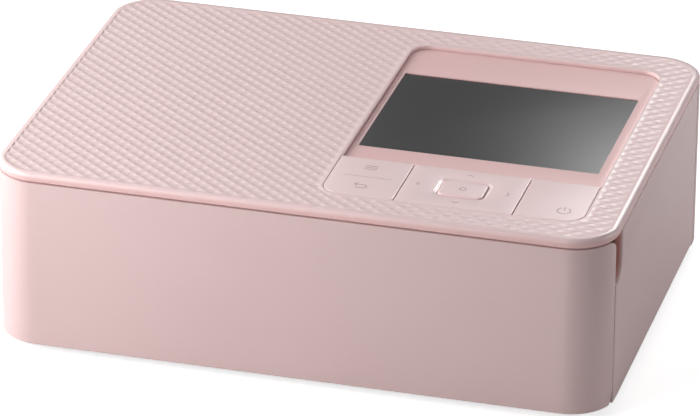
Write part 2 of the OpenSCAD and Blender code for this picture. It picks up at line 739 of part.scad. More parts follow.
module chassis() color([0.72, 0.73, 0.74]) {
    difference() {
        union() {
            for (x = [left_x - plate_t, right_x])
                box([x, plate_y0, floor_z + fit], [x + plate_t, plate_y1, plate_z1]);
            box([left_x - 0.1, board_y0 - 2, floor_z + fit],
                [right_x + 0.1, board_y1 + 1, floor_z + fit + cross_t]);
        }
        for (c = [platen_c, feed_c, pick_c]) rod_x(c, bush_r, left_x - 5, right_x + 5);
        rod_x(take_c, journal_r + shaft_clear + bush_t, left_x - 5, left_x + 5);
        rod_x(pivot_c, pivot_r, left_x - 5, right_x + 5);
        along_x(right_x - over, plate_t + 2 * over) cassette_profile(0.4);
        card_gap(left_x - 5, left_x + over);
    }
    rod_x([plate_y0 + 4, plate_z1 - 5], 1.8, left_x - 0.1, right_x + 0.1);
    rod_x([stud_y, spool_z], 1.2, right_x + plate_t - 0.1, right_x + plate_t + 3.4, 24);
    for (x = [left_x + 8, right_x - 8], y = [board_y0 + 5, board_y1 - 5])
        rod_z(x, y, 2.4, floor_z + fit + cross_t - 0.1, board_z);
}

// A flanged bush in a side plate; s is the side that its flange faces
module bush(c, r, x, s) difference() {
    union() {
        rod_x(c, r + bush_t, x - (s > 0 ? plate_t : 0), x + (s > 0 ? 0 : plate_t));
        rod_x(c, r + bush_t + 0.8, min(x, x + s * flange_t), max(x, x + s * flange_t));
    }
    rod_x(c, r, x - 5, x + 5);
}

module bushes() color([0.78, 0.62, 0.32]) {
    for (c = [platen_c, feed_c, pick_c]) {
        bush(c, shaft_r + shaft_clear, left_x, 1);
        bush(c, shaft_r + shaft_clear, right_x, -1);
    }
    difference() {
        rod_x(take_c, journal_r + shaft_clear + bush_t, left_x - plate_t, left_x);
        rod_x(take_c, journal_r + shaft_clear, left_x - 5, left_x + 5);
    }
}

module paper_guide() color([0.30, 0.29, 0.30])
    for (s = [[guide_y0, platen_y - platen_r - 0.6],
            [platen_y + platen_r + 0.6, feed_y - feed_r - 0.6],
            [feed_y + feed_r + 0.6, hd - wall - fit]])
        box([left_x, s[0], path_z - 1.5], [right_x, s[1], path_z - 0.7]);

shaft_x1 = right_x + plate_t + 0.8;

module platen_roller() color([0.16, 0.16, 0.16]) union() {
    rod_x(platen_c, platen_r, roller_x0, roller_x1, 72);
    rod_x(platen_c, shaft_r, left_x - plate_t - 0.6, shaft_x1);
}

module feed_roller() color([0.70, 0.71, 0.72]) union() {
    rod_x(feed_c, feed_r, roller_x0, roller_x1, 72);
    rod_x(feed_c, shaft_r, layer_b, shaft_x1);
}

module feed_gear() color([0.92, 0.90, 0.84]) difference() {
    gear(n_feed, feed_c, 0, layer_b);
    rod_x(feed_c, shaft_r + 0.02, layer_b - over, layer_b + gear_t + over);
    for (a = [30:60:330])
        rod_x(away(feed_c, a, 6.6), 1.7, layer_b - over, layer_b + gear_t + over, 24);
}

module pinch_roller() color([0.25, 0.25, 0.26]) union() {
    rod_x(pinch_c, pinch_r, roller_x0 + 1, roller_x1 - 1);
    rod_x(pinch_c, pinch_shaft_r, left_x + 1, right_x - 1);
}

module pinch_bracket() color([0.30, 0.29, 0.30]) difference() {
    for (x = [left_x, right_x - 4])
        box([x, feed_y - 2.1, pinch_z - 2.6], [x + 4, feed_y + 4.5, pinch_z + 2.2]);
    rod_x(pinch_c, pinch_shaft_r + shaft_clear, left_x - over, right_x + over);
}

module pickup_roller() color([0.20, 0.20, 0.20]) union() {
    rod_x(pick_c, pickup_r, mech_x - 17, mech_x + 17, 72);
    rod_x(pick_c, shaft_r, layer_b, shaft_x1);
}

module pickup_gear() color([0.92, 0.90, 0.84]) difference() {
    gear(n_pick, pick_c, 0, layer_b);
    rod_x(pick_c, shaft_r + 0.02, layer_b - over, layer_b + gear_t + over);
    for (a = [30:60:330])
        rod_x(away(pick_c, a, 8), 2.2, layer_b - over, layer_b + gear_t + over, 24);
}

// Plate that carries the motors, with spacers to the left side plate
spacers = [[pickup_y - 6, floor_z + 7.7], [platen_y - 13, spool_z + 7], [pivot_y - 3, spool_z + 8],
    [pivot_y, floor_z + 4]];
module gear_bracket() color([0.70, 0.71, 0.72]) {
    difference() {
        box([bracket_x, plate_y0, floor_z + 3],
            [bracket_x + bracket_t, pivot_y + 5, spool_z + 10]);
        for (c = [motor_c, pick_motor_c]) rod_x(c, 3, bracket_x - over, bracket_x + 2);
        for (c = [feed_c, pick_c, take_c]) rod_x(c, 4, bracket_x - over, bracket_x + 2);
        card_gap(bracket_x - over, bracket_x + 2);
    }
    for (c = spacers) rod_x(c, 2, bracket_x + bracket_t - 0.1, left_x - plate_t);
    rod_x(wheel_c, 1.5, bracket_x + bracket_t - 0.1, left_x - plate_t, 32);
}

module motor(c) difference() {
    union() {
        rod_x(c, motor_r, bracket_x - motor_l, bracket_x, 72);
        rod_x(c, 2.8, bracket_x - over, bracket_x + bracket_t - 0.2, 32);
    }
    rod_x(c, 1 + shaft_clear, bracket_x - 4, bracket_x + 2, 24);
}

module feed_motor() color([0.55, 0.56, 0.57]) motor(motor_c);
module pickup_motor() color([0.55, 0.56, 0.57]) motor(pick_motor_c);

module feed_pinion() color([0.80, 0.68, 0.40]) union() {
    gear(n_motor, motor_c, motor_turn, layer_a);
    rod_x(motor_c, 1, bracket_x - 3.8, layer_a + 0.1, 24);
}

module pickup_pinion() color([0.80, 0.68, 0.40]) union() {
    gear(n_motor, pick_motor_c, pick_motor_turn, layer_b);
    rod_x(pick_motor_c, 1, bracket_x - 3.8, layer_b + 0.1, 24);
}

module reduction_gear() color([0.92, 0.90, 0.84]) difference() {
    union() {
        gear(n_wheel, wheel_c, 0, layer_a);
        rod_x(wheel_c, 3.4, layer_a + gear_t - 0.1, layer_b + 0.1);
        gear(n_small, wheel_c, small_turn, layer_b);
    }
    rod_x(wheel_c, 1.5 + shaft_clear, layer_a - over, layer_b + gear_t + over, 32);
}

module take_up_gear() color([0.92, 0.90, 0.84]) union() {
    gear(n_take, take_c, take_turn, layer_b);
    rod_x(take_c, journal_r, layer_b + gear_t - 0.1, cassette_x0 - 0.1);
    rod_x(take_c, 1.3, cassette_x0 - 0.2, cassette_x0 + 2.4, 24);
}

module head_bracket() color([0.74, 0.75, 0.76]) difference() {
    union() {
        box([mech_x - head_w / 2, sink_y0, head_plate_z],
            [mech_x + head_w / 2, pivot_y + 2.6, head_plate_z + head_plate_t]);
        for (x = [mech_x - head_w / 2, mech_x + head_w / 2 - head_plate_t])
            box([x, pivot_y - 3.6, pivot_z - 3.6], [x + head_plate_t, pivot_y + 2.6, head_plate_z + 0.1]);
    }
    rod_x(pivot_c, pivot_r + shaft_clear, left_x, right_x);
}

module heat_sink() color([0.66, 0.67, 0.68]) {
    box([roller_x0, sink_y0, sink_z0], [roller_x1, sink_y0 + sink_d, sink_z0 + 3]);
    for (i = [0:fins - 1])
        let (y = sink_y0 + i * (sink_d - 1) / max(1, fins - 1))
            box([roller_x0, y, sink_z0 + 2.9], [roller_x1, y + 1, head_plate_z - 0.05]);
}

module print_head() color([0.82, 0.82, 0.80]) union() {
    box([roller_x0 + 1, platen_y - head_d / 2, path_z + head_up + 0.5],
        [roller_x1 - 1, platen_y + head_d / 2, sink_z0 - 0.05]);
    rod_x([platen_y, path_z + head_up + bead_r], bead_r, roller_x0 + 1, roller_x1 - 1, 32);
}

module head_pivot_shaft() color("silver")
    rod_x(pivot_c, pivot_r, left_x - plate_t, right_x + plate_t);

// A coil of round wire along x: rings of side points along a helix, joined by quads
spring_l = 6;
coil_r = 3.1;
wire_r = 0.35;
coil_turns = 4;
coil_steps = 14;
coil_sides = 6;
module coil(c, x0, l) {
    rings = coil_turns * coil_steps;
    points = [for (i = [0:rings], j = [0:coil_sides - 1])
        let (a = i * 360 / coil_steps, b = j * 360 / coil_sides, r = coil_r + wire_r * cos(b))
        [x0 + l * i / rings + wire_r * sin(b), c[0] + r * cos(a), c[1] + r * sin(a)]];
    sides = [for (i = [0:rings - 1], j = [0:coil_sides - 1]) let (k = (j + 1) % coil_sides)
        [i * coil_sides + j, i * coil_sides + k, (i + 1) * coil_sides + k, (i + 1) * coil_sides + j]];
    ends = [[for (j = [coil_sides - 1:-1:0]) j], [for (j = [0:coil_sides - 1]) rings * coil_sides + j]];
    polyhedron(points, concat(sides, ends));
}

module head_springs() color([0.60, 0.60, 0.62])
    for (s = [-1, 1]) coil(pivot_c, mech_x + s * spring_x - spring_l / 2, spring_l);

module cassette_body() color([0.92, 0.90, 0.86]) difference() {
    union() {
        along_x(cassette_x0, cassette_end) cassette_profile(0);
        along_x(window_x1, cassette_end) cassette_profile(0);
        for (c = [supply_c, take_c]) rod_x(c, tube_r, window_x0 - 0.1, window_x1 + 0.1, 64);
        box([cassette_x1 - 0.1, supply_c[0] + 12, spool_z - 4],
            [cassette_x1 + grip_l, take_c[0] - 12, spool_z + 1]);
    }
    for (c = [supply_c, take_c]) {
        rod_x(c, tube_r - tube_t, window_x0, window_x1, 64);
        rod_x(c, journal_r + shaft_clear, cassette_x0 - over, cassette_x1 + over);
    }
    box([window_x0, supply_c[0] - 1, 0], [window_x1, take_c[0] + 1, spool_z - 3.4]);
    box([cassette_x1 + 2, supply_c[0] + 15, spool_z - 5],
        [cassette_x1 + grip_l - 2.4, take_c[0] - 15, spool_z + 2]);
}

module spool(c, r, socket) difference() {
    union() {
        rod_x(c, r, window_x0 + 1.5, window_x1 - 1.5, 64);
        rod_x(c, journal_r, cassette_x0 + 0.1, cassette_x1 - 0.1);
    }
    rod_x(c, 1.3 + shaft_clear, cassette_x0 - over, cassette_x0 + socket, 24);
}

module supply_spool() color([0.30, 0.12, 0.20]) spool(supply_c, supply_r, 1);
module take_up_spool() color([0.30, 0.12, 0.20]) spool(take_c, takeup_r, 3);

// The ribbon: off the supply roll, flat above the paper, and up to the take-up roll
web_flat = path_z + 1.5;
module ribbon_web() color([0.55, 0.20, 0.35]) {
    low = [[supply_c[0] + 1, spool_z - supply_r - 0.6], [supply_c[0] + tube_r + 0.6, web_flat],
        [take_c[0] - tube_r - 0.6, web_flat], [take_c[0] - 1, spool_z - takeup_r - 0.6]];
    along_x(window_x0 + 4, window_x1 - window_x0 - 8)
        polygon(concat(low, [for (i = [3:-1:0]) low[i] + [0, 0.18]]));
}

module cassette_latch() color([0.85, 0.45, 0.20]) difference() {
    x0 = right_x + plate_t + fit;
    union() {
        box([x0, latch_y, spool_z - 3], [x0 + 3, latch_y + latch_l, spool_z + 3]);
        box([cassette_x1 + 0.3, latch_y - 3, spool_z - 3], [x0 + 3, latch_y + 0.1, spool_z + 3]);
        box([x0 + 2.9, latch_y + 1, spool_z - 3], [x0 + 7, latch_y + 2.6, spool_z + 3]);
    }
    box([x0 - over, stud_y - 1.3 - latch_travel, spool_z - 1.3], [x0 + 4, stud_y + 1.3, spool_z + 1.3]);
}

module main_board() color([0.10, 0.30, 0.18])
    box([left_x + 2, board_y0, board_z], [right_x - 2, board_y1, board_z + board_t]);

module board_parts() color([0.14, 0.14, 0.15]) {
    top = board_z + board_t;
    for (p = [[-40, 10, 14, 1.4], [-12, 12, 10, 1.2], [14, 8, 8, 1], [-30, 30, 9, 1.2]])
        box([p[0], board_y0 + p[1], top], [p[0] + p[2], board_y0 + p[1] + p[2], top + p[3]]);
    for (i = [0:3]) rod_z(34 + i * 6, board_y0 + 6, 2.4, top, top + 5, 32);
    box([-8, board_y1 - 12, top], [14, board_y1 - 7, top + 4.6]);
}

module power_jack() color([0.12, 0.12, 0.13]) union() {
    difference() {
        union() {
            box([jack_x - 5, hd - 15, jack_z - 4.7], [jack_x + 5, hd - wall - fit, jack_z + 4.7]);
            rod_y(jack_x, jack_z, 3.8, hd - wall - 0.4, hd - 0.5);
        }
        rod_y(jack_x, jack_z, 2.9, hd - 10, hd + over);
    }
    rod_y(jack_x, jack_z, 0.9, hd - 10.1, hd - 2, 24);
}

// A socket shell along x or y: a tube of the size w by h with a tongue inside
module socket_shell(w, h, depth, t, tongue) {
    difference() {
        box([0, -w / 2, -h / 2], [depth, w / 2, h / 2]);
        box([-over, -w / 2 + t, -h / 2 + t], [depth - 2, w / 2 - t, h / 2 - t]);
    }
    box([2, -w / 2 + t + 0.8, tongue], [depth - 1.9, w / 2 - t - 0.8, tongue + 0.9]);
}

module usb_c_port() color("silver")
    translate([usb_c_x, hd - 0.8, usb_c_z]) rotate([0, 0, -90]) socket_shell(9, 3.3, 12, 0.35, -0.45);

module usb_socket() color("silver")
    translate([-hw + 0.6, usb_y, usb_z]) socket_shell(13.2, 5.7, bracket_x - 1.4 + hw - 0.6, 0.35, 0.4);

module card_socket() color([0.62, 0.63, 0.64])
    translate([-hw + wall + fit, card_y, card_z + 1.7])
        socket_shell(card_w + 1, 3.4, left_x - 0.3 + hw - wall - fit, 0.4, 0.2);

module feet() color([0.20, 0.20, 0.21])
    for (x = [-foot_x, foot_x], y = [-hd + foot_in, hd - foot_in])
        rod_z(x, y, foot_r, 0, foot_h + foot_seat, 64);

module case_screws() color("silver") for (p = screws) difference() {
    union() {
        rod_z(p[0], p[1], screw_head, foot_h + 0.2, screw_seat);
        rod_z(p[0], p[1], screw_r, screw_seat - 0.1, post_z + screw_l, 32);
    }
    for (a = [0, 90])
        translate([p[0], p[1], foot_h]) rotate([0, 0, a]) box([-1.7, -0.3, 0], [1.7, 0.3, 0.9]);
}

base_tray();
rear_case();
front_inner_panel();
top_cover();
front_cover();
front_hinge_pins();
ink_door();
ink_hinge_pins();
panel_frame();
display_bezel();
display_glass();
lcd_module();
menu_back_rocker();
nav_gimbal();
nav_pad();
ok_button();
power_button();
key_board();
key_switches();
chassis();
bushes();
paper_guide();
platen_roller();
feed_roller();
feed_gear();
pinch_roller();
pinch_bracket();
pickup_roller();
pickup_gear();
gear_bracket();
feed_motor();
feed_pinion();
reduction_gear();
take_up_gear();
pickup_motor();
pickup_pinion();
head_bracket();
heat_sink();
print_head();
head_pivot_shaft();
head_springs();
cassette_body();
supply_spool();
take_up_spool();
ribbon_web();
cassette_latch();
main_board();
board_parts();
power_jack();
usb_c_port();
usb_socket();
card_socket();
feet();
case_screws();
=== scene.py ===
# %% [markdown]
# # A compact photo printer
# The printer is a low pink box. Its front and right side are covers that swing down, its top is a
# separate cover pressed with a fine diamond relief, and a display sits in the top with one row of
# keys in front of it. The mechanism inside comes ready made from the frame, so this notebook
# only gives every part its surface and shapes the parts whose surface is finer than the frame's.

# %% Loading the frame
import json
import math

import bmesh
import bpy
import numpy as np
from mathutils import Matrix, Vector

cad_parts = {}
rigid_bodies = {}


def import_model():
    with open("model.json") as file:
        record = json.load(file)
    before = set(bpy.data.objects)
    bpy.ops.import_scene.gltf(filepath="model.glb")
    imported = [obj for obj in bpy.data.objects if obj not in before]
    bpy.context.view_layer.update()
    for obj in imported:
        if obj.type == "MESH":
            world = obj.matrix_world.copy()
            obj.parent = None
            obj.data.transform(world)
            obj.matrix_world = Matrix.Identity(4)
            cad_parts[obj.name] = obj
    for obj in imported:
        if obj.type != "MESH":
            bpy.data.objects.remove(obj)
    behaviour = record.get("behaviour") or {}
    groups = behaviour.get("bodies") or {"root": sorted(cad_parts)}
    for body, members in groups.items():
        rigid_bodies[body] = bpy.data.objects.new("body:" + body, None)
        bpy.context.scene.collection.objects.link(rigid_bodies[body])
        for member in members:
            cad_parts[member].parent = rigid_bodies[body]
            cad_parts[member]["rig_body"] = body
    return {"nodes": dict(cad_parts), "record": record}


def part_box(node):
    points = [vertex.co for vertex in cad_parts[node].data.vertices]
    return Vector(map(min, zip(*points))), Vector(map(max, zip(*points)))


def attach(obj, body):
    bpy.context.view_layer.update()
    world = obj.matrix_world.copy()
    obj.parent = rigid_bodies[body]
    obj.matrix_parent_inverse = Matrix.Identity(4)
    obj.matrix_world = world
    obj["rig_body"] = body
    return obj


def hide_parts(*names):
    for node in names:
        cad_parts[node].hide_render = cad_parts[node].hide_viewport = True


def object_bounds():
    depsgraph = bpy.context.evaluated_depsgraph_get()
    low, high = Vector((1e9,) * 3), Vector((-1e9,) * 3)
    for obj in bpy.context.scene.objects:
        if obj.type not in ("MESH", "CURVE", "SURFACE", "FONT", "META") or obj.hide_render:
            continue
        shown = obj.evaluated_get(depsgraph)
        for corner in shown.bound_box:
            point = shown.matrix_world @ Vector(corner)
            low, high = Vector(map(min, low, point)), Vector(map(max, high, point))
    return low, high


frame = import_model()
frame_box = [list(corner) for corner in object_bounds()]
MM = 0.001
LOW, HIGH = (Vector(corner) / MM for corner in frame_box)
print("the printer measures", [round(a, 1) for a in HIGH - LOW], "mm")


# %% Places taken from the frame
def span(node):
    """Lowest and highest corner of a frame node, in millimetres."""
    low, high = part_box(node)
    return np.array(low) / MM, np.array(high) / MM


cover_low, cover_high = span("top_cover")
bezel_low, bezel_high = span("display_bezel")
glass_low, glass_high = span("display_glass")
pad_low, pad_high = span("nav_pad")
ok_low, ok_high = span("ok_button")
left_low, left_high = span("menu_back_rocker")
right_low, right_high = span("power_button")
KEY_GAP = 0.2
TOP = cover_high[2]
HALF_W = cover_high[0]
HALF_D = cover_high[1]
CASE_R = 13.2
PANEL_R = 6.0
panel_x0, panel_x1 = bezel_low[0] - KEY_GAP, bezel_high[0] + KEY_GAP
panel_y0, panel_y1 = pad_low[1] - KEY_GAP, bezel_high[1] + KEY_GAP
keys_z = right_low[2]
print("panel cut-out", round(panel_x0, 2), round(panel_y0, 2), round(panel_x1, 2), round(panel_y1, 2))

# %% [markdown]
# ## The camera
# The photograph is a product shot from the right front, about 26 degrees above the table, taken
# with a long lens from a metre and a half away. A camera in Blender looks along its own -Z axis, so
# its matrix is built from the direction that points back at it, a right and an up vector.

# %% The camera
AZIMUTH, ELEVATION, ROLL = 15.335, 25.6685, 0.2938
DISTANCE = 1505.4
SHIFT_RIGHT, SHIFT_UP = -1.515, 23.663
FOCAL_PIXELS, FRAME_PIXELS = 5067.7, 700
SENSOR_WIDTH = 36
NEAREST, FARTHEST = 0.05, 30

az, el, roll = (math.radians(a) for a in (AZIMUTH, ELEVATION, ROLL))
back = Vector((math.sin(az) * math.cos(el), -math.cos(az) * math.cos(el), math.sin(el)))
level_right = Vector((0, 0, 1)).cross(back).normalized()
level_up = back.cross(level_right)
right = math.cos(roll) * level_right + math.sin(roll) * level_up
up = -math.sin(roll) * level_right + math.cos(roll) * level_up
eye = (SHIFT_RIGHT * right + SHIFT_UP * up + DISTANCE * back) * MM

camera_data = bpy.data.cameras.new("camera")
camera_data.sensor_width = SENSOR_WIDTH
camera_data.lens = FOCAL_PIXELS / FRAME_PIXELS * SENSOR_WIDTH
camera_data.clip_start, camera_data.clip_end = NEAREST, FARTHEST
camera = bpy.data.objects.new("camera", camera_data)
camera.matrix_world = Matrix.Translation(eye) @ Matrix((right, up, back)).transposed().to_4x4()
bpy.context.scene.collection.objects.link(camera)
bpy.context.scene.camera = camera
print("lens", round(camera_data.lens, 1), "mm, eye at", [round(a, 3) for a in eye])

# %% [markdown]
# ## Shader maths that reads like maths
# A procedural material is a sum of small formulas, and in the node editor even `1 - mask * 2` takes
# two nodes and three links. Here one small class wraps a socket and overloads the operators, so a
# formula in Python adds the Math nodes itself. Numbers alone stay Python numbers.


# %% A socket that can be added and multiplied
class Value:
    """A number socket of a material, or a plain number, that operators turn into Math nodes."""

    def __init__(self, look, socket):
        self.look, self.socket = look, socket

    def math(self, operation, *others):
        """Another value, from a Math node that takes this one and the others."""
        inputs = [self.socket] + [o.socket if isinstance(o, Value) else o for o in others]
        node = self.look.node("ShaderNodeMath", dict(operation=operation), inputs)
        return Value(self.look, node.outputs[0])

    def __add__(self, other):
        return self.math("ADD", other)

    def __sub__(self, other):
        return self.math("SUBTRACT", other)

    def __mul__(self, other):
        return self.math("MULTIPLY", other)

    def __truediv__(self, other):
        return self.math("DIVIDE", other)

    def __rsub__(self, other):
        return (self * -1.0) + other

    __radd__, __rmul__ = __add__, __mul__


# %% Nodes that are written as a recipe
class Recipe:
    """A node tree. node() adds a node of any kind with its settings and its inputs."""

    def __init__(self, tree):
        self.tree = tree

    def node(self, kind, settings, inputs):
        """A new node. Its inputs are numbers, sockets or values, in order or by their names."""
        node = self.tree.nodes.new(kind)
        for key, value in settings.items():
            setattr(node, key, value)
        pairs = inputs.items() if isinstance(inputs, dict) else enumerate(inputs)
        for key, value in pairs:
            if isinstance(value, Value):
                value = value.socket
            if isinstance(value, bpy.types.NodeSocket):
                self.tree.links.new(value, node.inputs[key])
            else:
                node.inputs[key].default_value = value
        return node

    def seen_directly(self, rays):
        """1 for what the camera sees itself or through something clear, and 0 for all other light."""
        return Value(self, rays["Is Camera Ray"]).math("MAXIMUM", Value(self, rays["Is Transmission Ray"]))


# %% A material
class Look(Recipe):
    """One material with a Principled shader, whose fixed inputs are given by name."""

    def __init__(self, name, **fixed):
        self.material = bpy.data.materials.new(name)
        self.material.use_nodes = True
        super().__init__(self.material.node_tree)
        self.shader = self.tree.nodes["Principled BSDF"]
        for socket, value in fixed.items():
            self.shader.inputs[socket.replace("_", " ")].default_value = value
        self.place = self.node("ShaderNodeTexCoord", {}, []).outputs["Object"]

    def set(self, socket, value):
        """Feeds one input of the shader."""
        source = value.socket if isinstance(value, Value) else value
        self.tree.links.new(source, self.shader.inputs[socket])

    def scaled(self, x, y, z):
        """The object coordinates, with a scale of their own for each axis."""
        return self.node("ShaderNodeMapping", {}, {"Vector": self.place, "Scale": (x, y, z)}).outputs[0]

    def noise(self, size_mm, detail=2.0, stretch=(1, 1, 1)):
        """Noise from 0 to 1 whose blotches are about size_mm across."""
        scale = 1 / (size_mm * MM)
        vector = self.scaled(*(scale * s for s in stretch))
        node = self.node("ShaderNodeTexNoise", {}, {"Vector": vector, "Scale": 1.0, "Detail": detail})
        return Value(self, node.outputs["Fac"])

    def axis(self, letter):
        """The x, y or z coordinate in millimetres."""
        split = self.node("ShaderNodeSeparateXYZ", {}, [self.place])
        return Value(self, split.outputs[letter.upper()]) * (1 / MM)

    def ramp(self, value, low, high):
        """0 below low, 1 above high, and a straight line between."""
        node = self.node("ShaderNodeMapRange", {}, {"Value": value, "From Min": low, "From Max": high})
        return Value(self, node.outputs[0])

    def mix(self, factor, a, b):
        """A colour between a and b."""
        node = self.node("ShaderNodeMix", dict(data_type="RGBA"), {0: factor, 6: a, 7: b})
        return node.outputs[2]

    def bump(self, height, depth_mm, strength=1.0):
        """Turns the surface's normal as a height of depth_mm would."""
        node = self.node("ShaderNodeBump", {}, {"Height": height, "Distance": depth_mm * MM,
                                                "Strength": strength})
        self.set("Normal", node.outputs[0])

    def gloss(self, noise, middle, spread):
        """Roughness that a noise spreads evenly about its middle."""
        self.set("Roughness", noise * spread + (middle - spread / 2))


# %% [markdown]
# ## Finishes
# The case is injection moulded in pink plastic with a spark-eroded, silky surface: its colour
# drifts very slightly with the flow of the melt, its gloss is broken by a grain of about a tenth of
# a millimetre, and its touch points are a little smoother. Each finish below is one short recipe.


# %% Colours in the light that shaders work in
def linear(r, g, b):
    """A colour given as 0 to 255 screen values, as linear light."""
    c = np.array([r, g, b]) / 255
    return tuple(np.where(c <= 0.04045, c / 12.92, ((c + 0.055) / 1.055) ** 2.4)) + (1.0,)


def shaded(colour, share):
    """A screen colour as linear light, times a share."""
    return tuple(np.array(linear(*colour)) * [share, share, share, 1])


# %% Pink mouldings
FLOW_MM, SMUDGE_MM = 38, 11
GLOSS_SPREAD = 0.06


def moulded(name, colour, roughness, grain_mm=0.12, grain_depth=0.004, drift=0.03, tint=None, **fixed):
    """Silky injection-moulded plastic: slow colour drift, a fine grain and small gloss changes.

    tint(look, pigment) may change the colour from place to place."""
    look = Look(name, **fixed)
    flow = look.noise(FLOW_MM, 3)
    pigment = look.mix(flow, shaded(colour, 1 - drift), shaded(colour, 1 + drift))
    look.set("Base Color", tint(look, pigment) if tint else pigment)
    look.gloss(look.noise(SMUDGE_MM, 4), roughness, GLOSS_SPREAD)
    look.bump(look.noise(grain_mm, 2), grain_depth, 0.6)
    return look.material


# The pressed top of the cover is painted paler than its rim: painted sheen.
RIM_BELOW_TOP, PRESSED_BELOW_TOP = 1.6, 0.5
RIM_PINK = (226, 186, 184)


def pressed_top_painted_sheen(look, pigment):
    """The cover's smooth rim keeps the colour of the case, and its pressed top is painted paler, a painted
    sheen where the top faces the light.
    """
    pressed = look.ramp(look.axis("z"), TOP - RIM_BELOW_TOP, TOP - PRESSED_BELOW_TOP)
    return look.mix(pressed, linear(*RIM_PINK), pigment)


# Where the painted shade of the finger groove lies, and how it turns red and then dark with depth.
GROOVE_REAR, GROOVE_FOOT, GROOVE_DEEPEST = -48.8, 38.6, 4.6
REAR_BLEND, FOOT_BLEND, DEEP_BLEND = 0.6, 1.2, 0.3
RED_FROM, RED_TO, DARK_FROM, DARK_TO = 0.15, 1.0, 1.3, 2.6
GROOVE_SHADE_RED, GROOVE_SHADE_DARK = (176, 108, 98), (46, 8, 6)


def groove_painted_shade(look, pigment):
    """Painted shade in the finger groove: only light that has bounced off pink reaches down there, so the
    colour is painted red and then dark.

    The groove is the door's front end above GROOVE_FOOT, from its face to GROOVE_DEEPEST inside."""
    depth = HALF_W - look.axis("x")
    groove = look.ramp(look.axis("y"), GROOVE_REAR, GROOVE_REAR - REAR_BLEND)
    groove = groove * look.ramp(look.axis("z"), GROOVE_FOOT, GROOVE_FOOT + FOOT_BLEND)
    groove = groove * look.ramp(depth, GROOVE_DEEPEST + DEEP_BLEND, GROOVE_DEEPEST)
    red = look.mix(look.ramp(depth, RED_FROM, RED_TO) * groove, pigment, linear(*GROOVE_SHADE_RED))
    return look.mix(look.ramp(depth, DARK_FROM, DARK_TO) * groove, red, linear(*GROOVE_SHADE_DARK))


case_pink = moulded("case_pink", (213, 187, 186), 0.42)
# The ink door's pink carries painted shade, red and then dark, deep in its finger groove.
door_pink_groove_shade = moulded("door_pink_groove_shade", (213, 187, 186), 0.42, tint=groove_painted_shade)
front_pink = moulded("front_pink", (215, 188, 187), 0.36)
# The pressed top's pale pink is partly painted sheen, paler than the pink of the case.
relief_pink_painted_sheen = moulded("relief_pink_painted_sheen", (241, 213, 212), 0.33, grain_mm=0.2, tint=pressed_top_painted_sheen)
key_pink = moulded("key_pink", (246, 219, 218), 0.34, grain_mm=0.08, grain_depth=0.002, drift=0.01)
under_pink = moulded("under_pink", (186, 154, 153), 0.6, grain_mm=0.5, grain_depth=0.03)
print("pink mouldings:", case_pink.name, front_pink.name, relief_pink_painted_sheen.name, key_pink.name)


# %% Glossy surround and display glass
def polished(name, colour, roughness, coat):
    """Polished plastic under a thin hard layer, with faint long scratches from wiping."""
    look = Look(name, Coat_Weight=coat, Coat_Roughness=0.3)
    look.set("Base Color", look.mix(look.noise(24, 2), shaded(colour, 0.98), linear(*colour)))
    wipes = look.noise(0.35, 3, stretch=(0.06, 1, 1))
    look.set("Roughness", wipes * 0.05 + roughness)
    return look.material


bezel_gloss = polished("bezel_gloss", (236, 193, 192), 0.36, 0.1)
screen_glass = polished("screen_glass", (22, 22, 23), 0.27, 0.05)


# %% Dark mouldings, rubber and small finishes
def plain_moulding(name, colour, roughness, grain_mm=0.4, grain_depth=0.01):
    """A plain moulding, rubber or ceramic: blotched a little darker, with a grain of its own."""
    look = Look(name)
    look.set("Base Color", look.mix(look.noise(6, 3), shaded(colour, 0.88), linear(*colour)))
    look.gloss(look.noise(2.5, 2), roughness, 0.12)
    look.bump(look.noise(grain_mm, 3), grain_depth)
    return look.material


inner_panel = plain_moulding("inner_panel", (92, 82, 84), 0.62)
dark_module = plain_moulding("dark_module", (38, 38, 40), 0.5)
gear_plastic = plain_moulding("gear_plastic", (236, 231, 214), 0.42, 0.8, 0.004)
cassette_plastic = plain_moulding("cassette_plastic", (214, 210, 202), 0.48)
latch_plastic = plain_moulding("latch_plastic", (222, 120, 60), 0.4)
ceramic = plain_moulding("ceramic", (224, 222, 214), 0.24, 1.5, 0.002)
roller_rubber = plain_moulding("roller_rubber", (44, 43, 44), 0.78, 0.15, 0.02)
foot_rubber = plain_moulding("foot_rubber", (52, 50, 51), 0.85, 0.5, 0.05)


# %% Metals
def metal(name, colour, roughness, grain_mm=0.2, stretch=(1, 1, 1), spangle=0.0):
    """Bare or plated metal: a brushed or spangled grain in its colour and its roughness."""
    look = Look(name, Metallic=1.0)
    grain = look.noise(grain_mm, 4, stretch)
    patches = look.noise(5, 1)
    tone = grain * (1 - spangle) + patches * spangle
    look.set("Base Color", look.mix(tone, shaded(colour, 0.8), linear(*colour)))
    look.gloss(grain, roughness, 0.2)
    look.bump(grain, 0.003)
    return look.material


steel = metal("steel", (200, 200, 203), 0.28, 0.15, (0.05, 1, 1))
zinc_plate = metal("zinc_plate", (198, 202, 206), 0.42, 0.6, spangle=0.7)
brass = metal("brass", (206, 170, 104), 0.3, 0.2, (1, 0.1, 0.1))
cast_aluminium = metal("cast_aluminium", (196, 198, 200), 0.46, 0.3, (0.05, 1, 1))
print("metals:", steel.name, zinc_plate.name, brass.name, cast_aluminium.name)


# %% Circuit board and ribbon film
def printed_board():
    """Green solder mask over copper: sharp streaks of noise along both axes stand for the traces."""
    look = Look("circuit_board", Coat_Weight=0.3)
    lines = []
    for stretch in ((1, 0.04, 1), (0.04, 1, 1)):
        lines.append(look.ramp(look.noise(1.1, 0, stretch), 0.55, 0.57))
    traces = lines[0].math("MAXIMUM", lines[1])
    look.set("Base Color", look.mix(traces, linear(16, 70, 40), linear(38, 112, 66)))
    look.set("Roughness", look.noise(3, 2) * 0.1 + 0.3)
    look.bump(traces, 0.03)
    return look.material


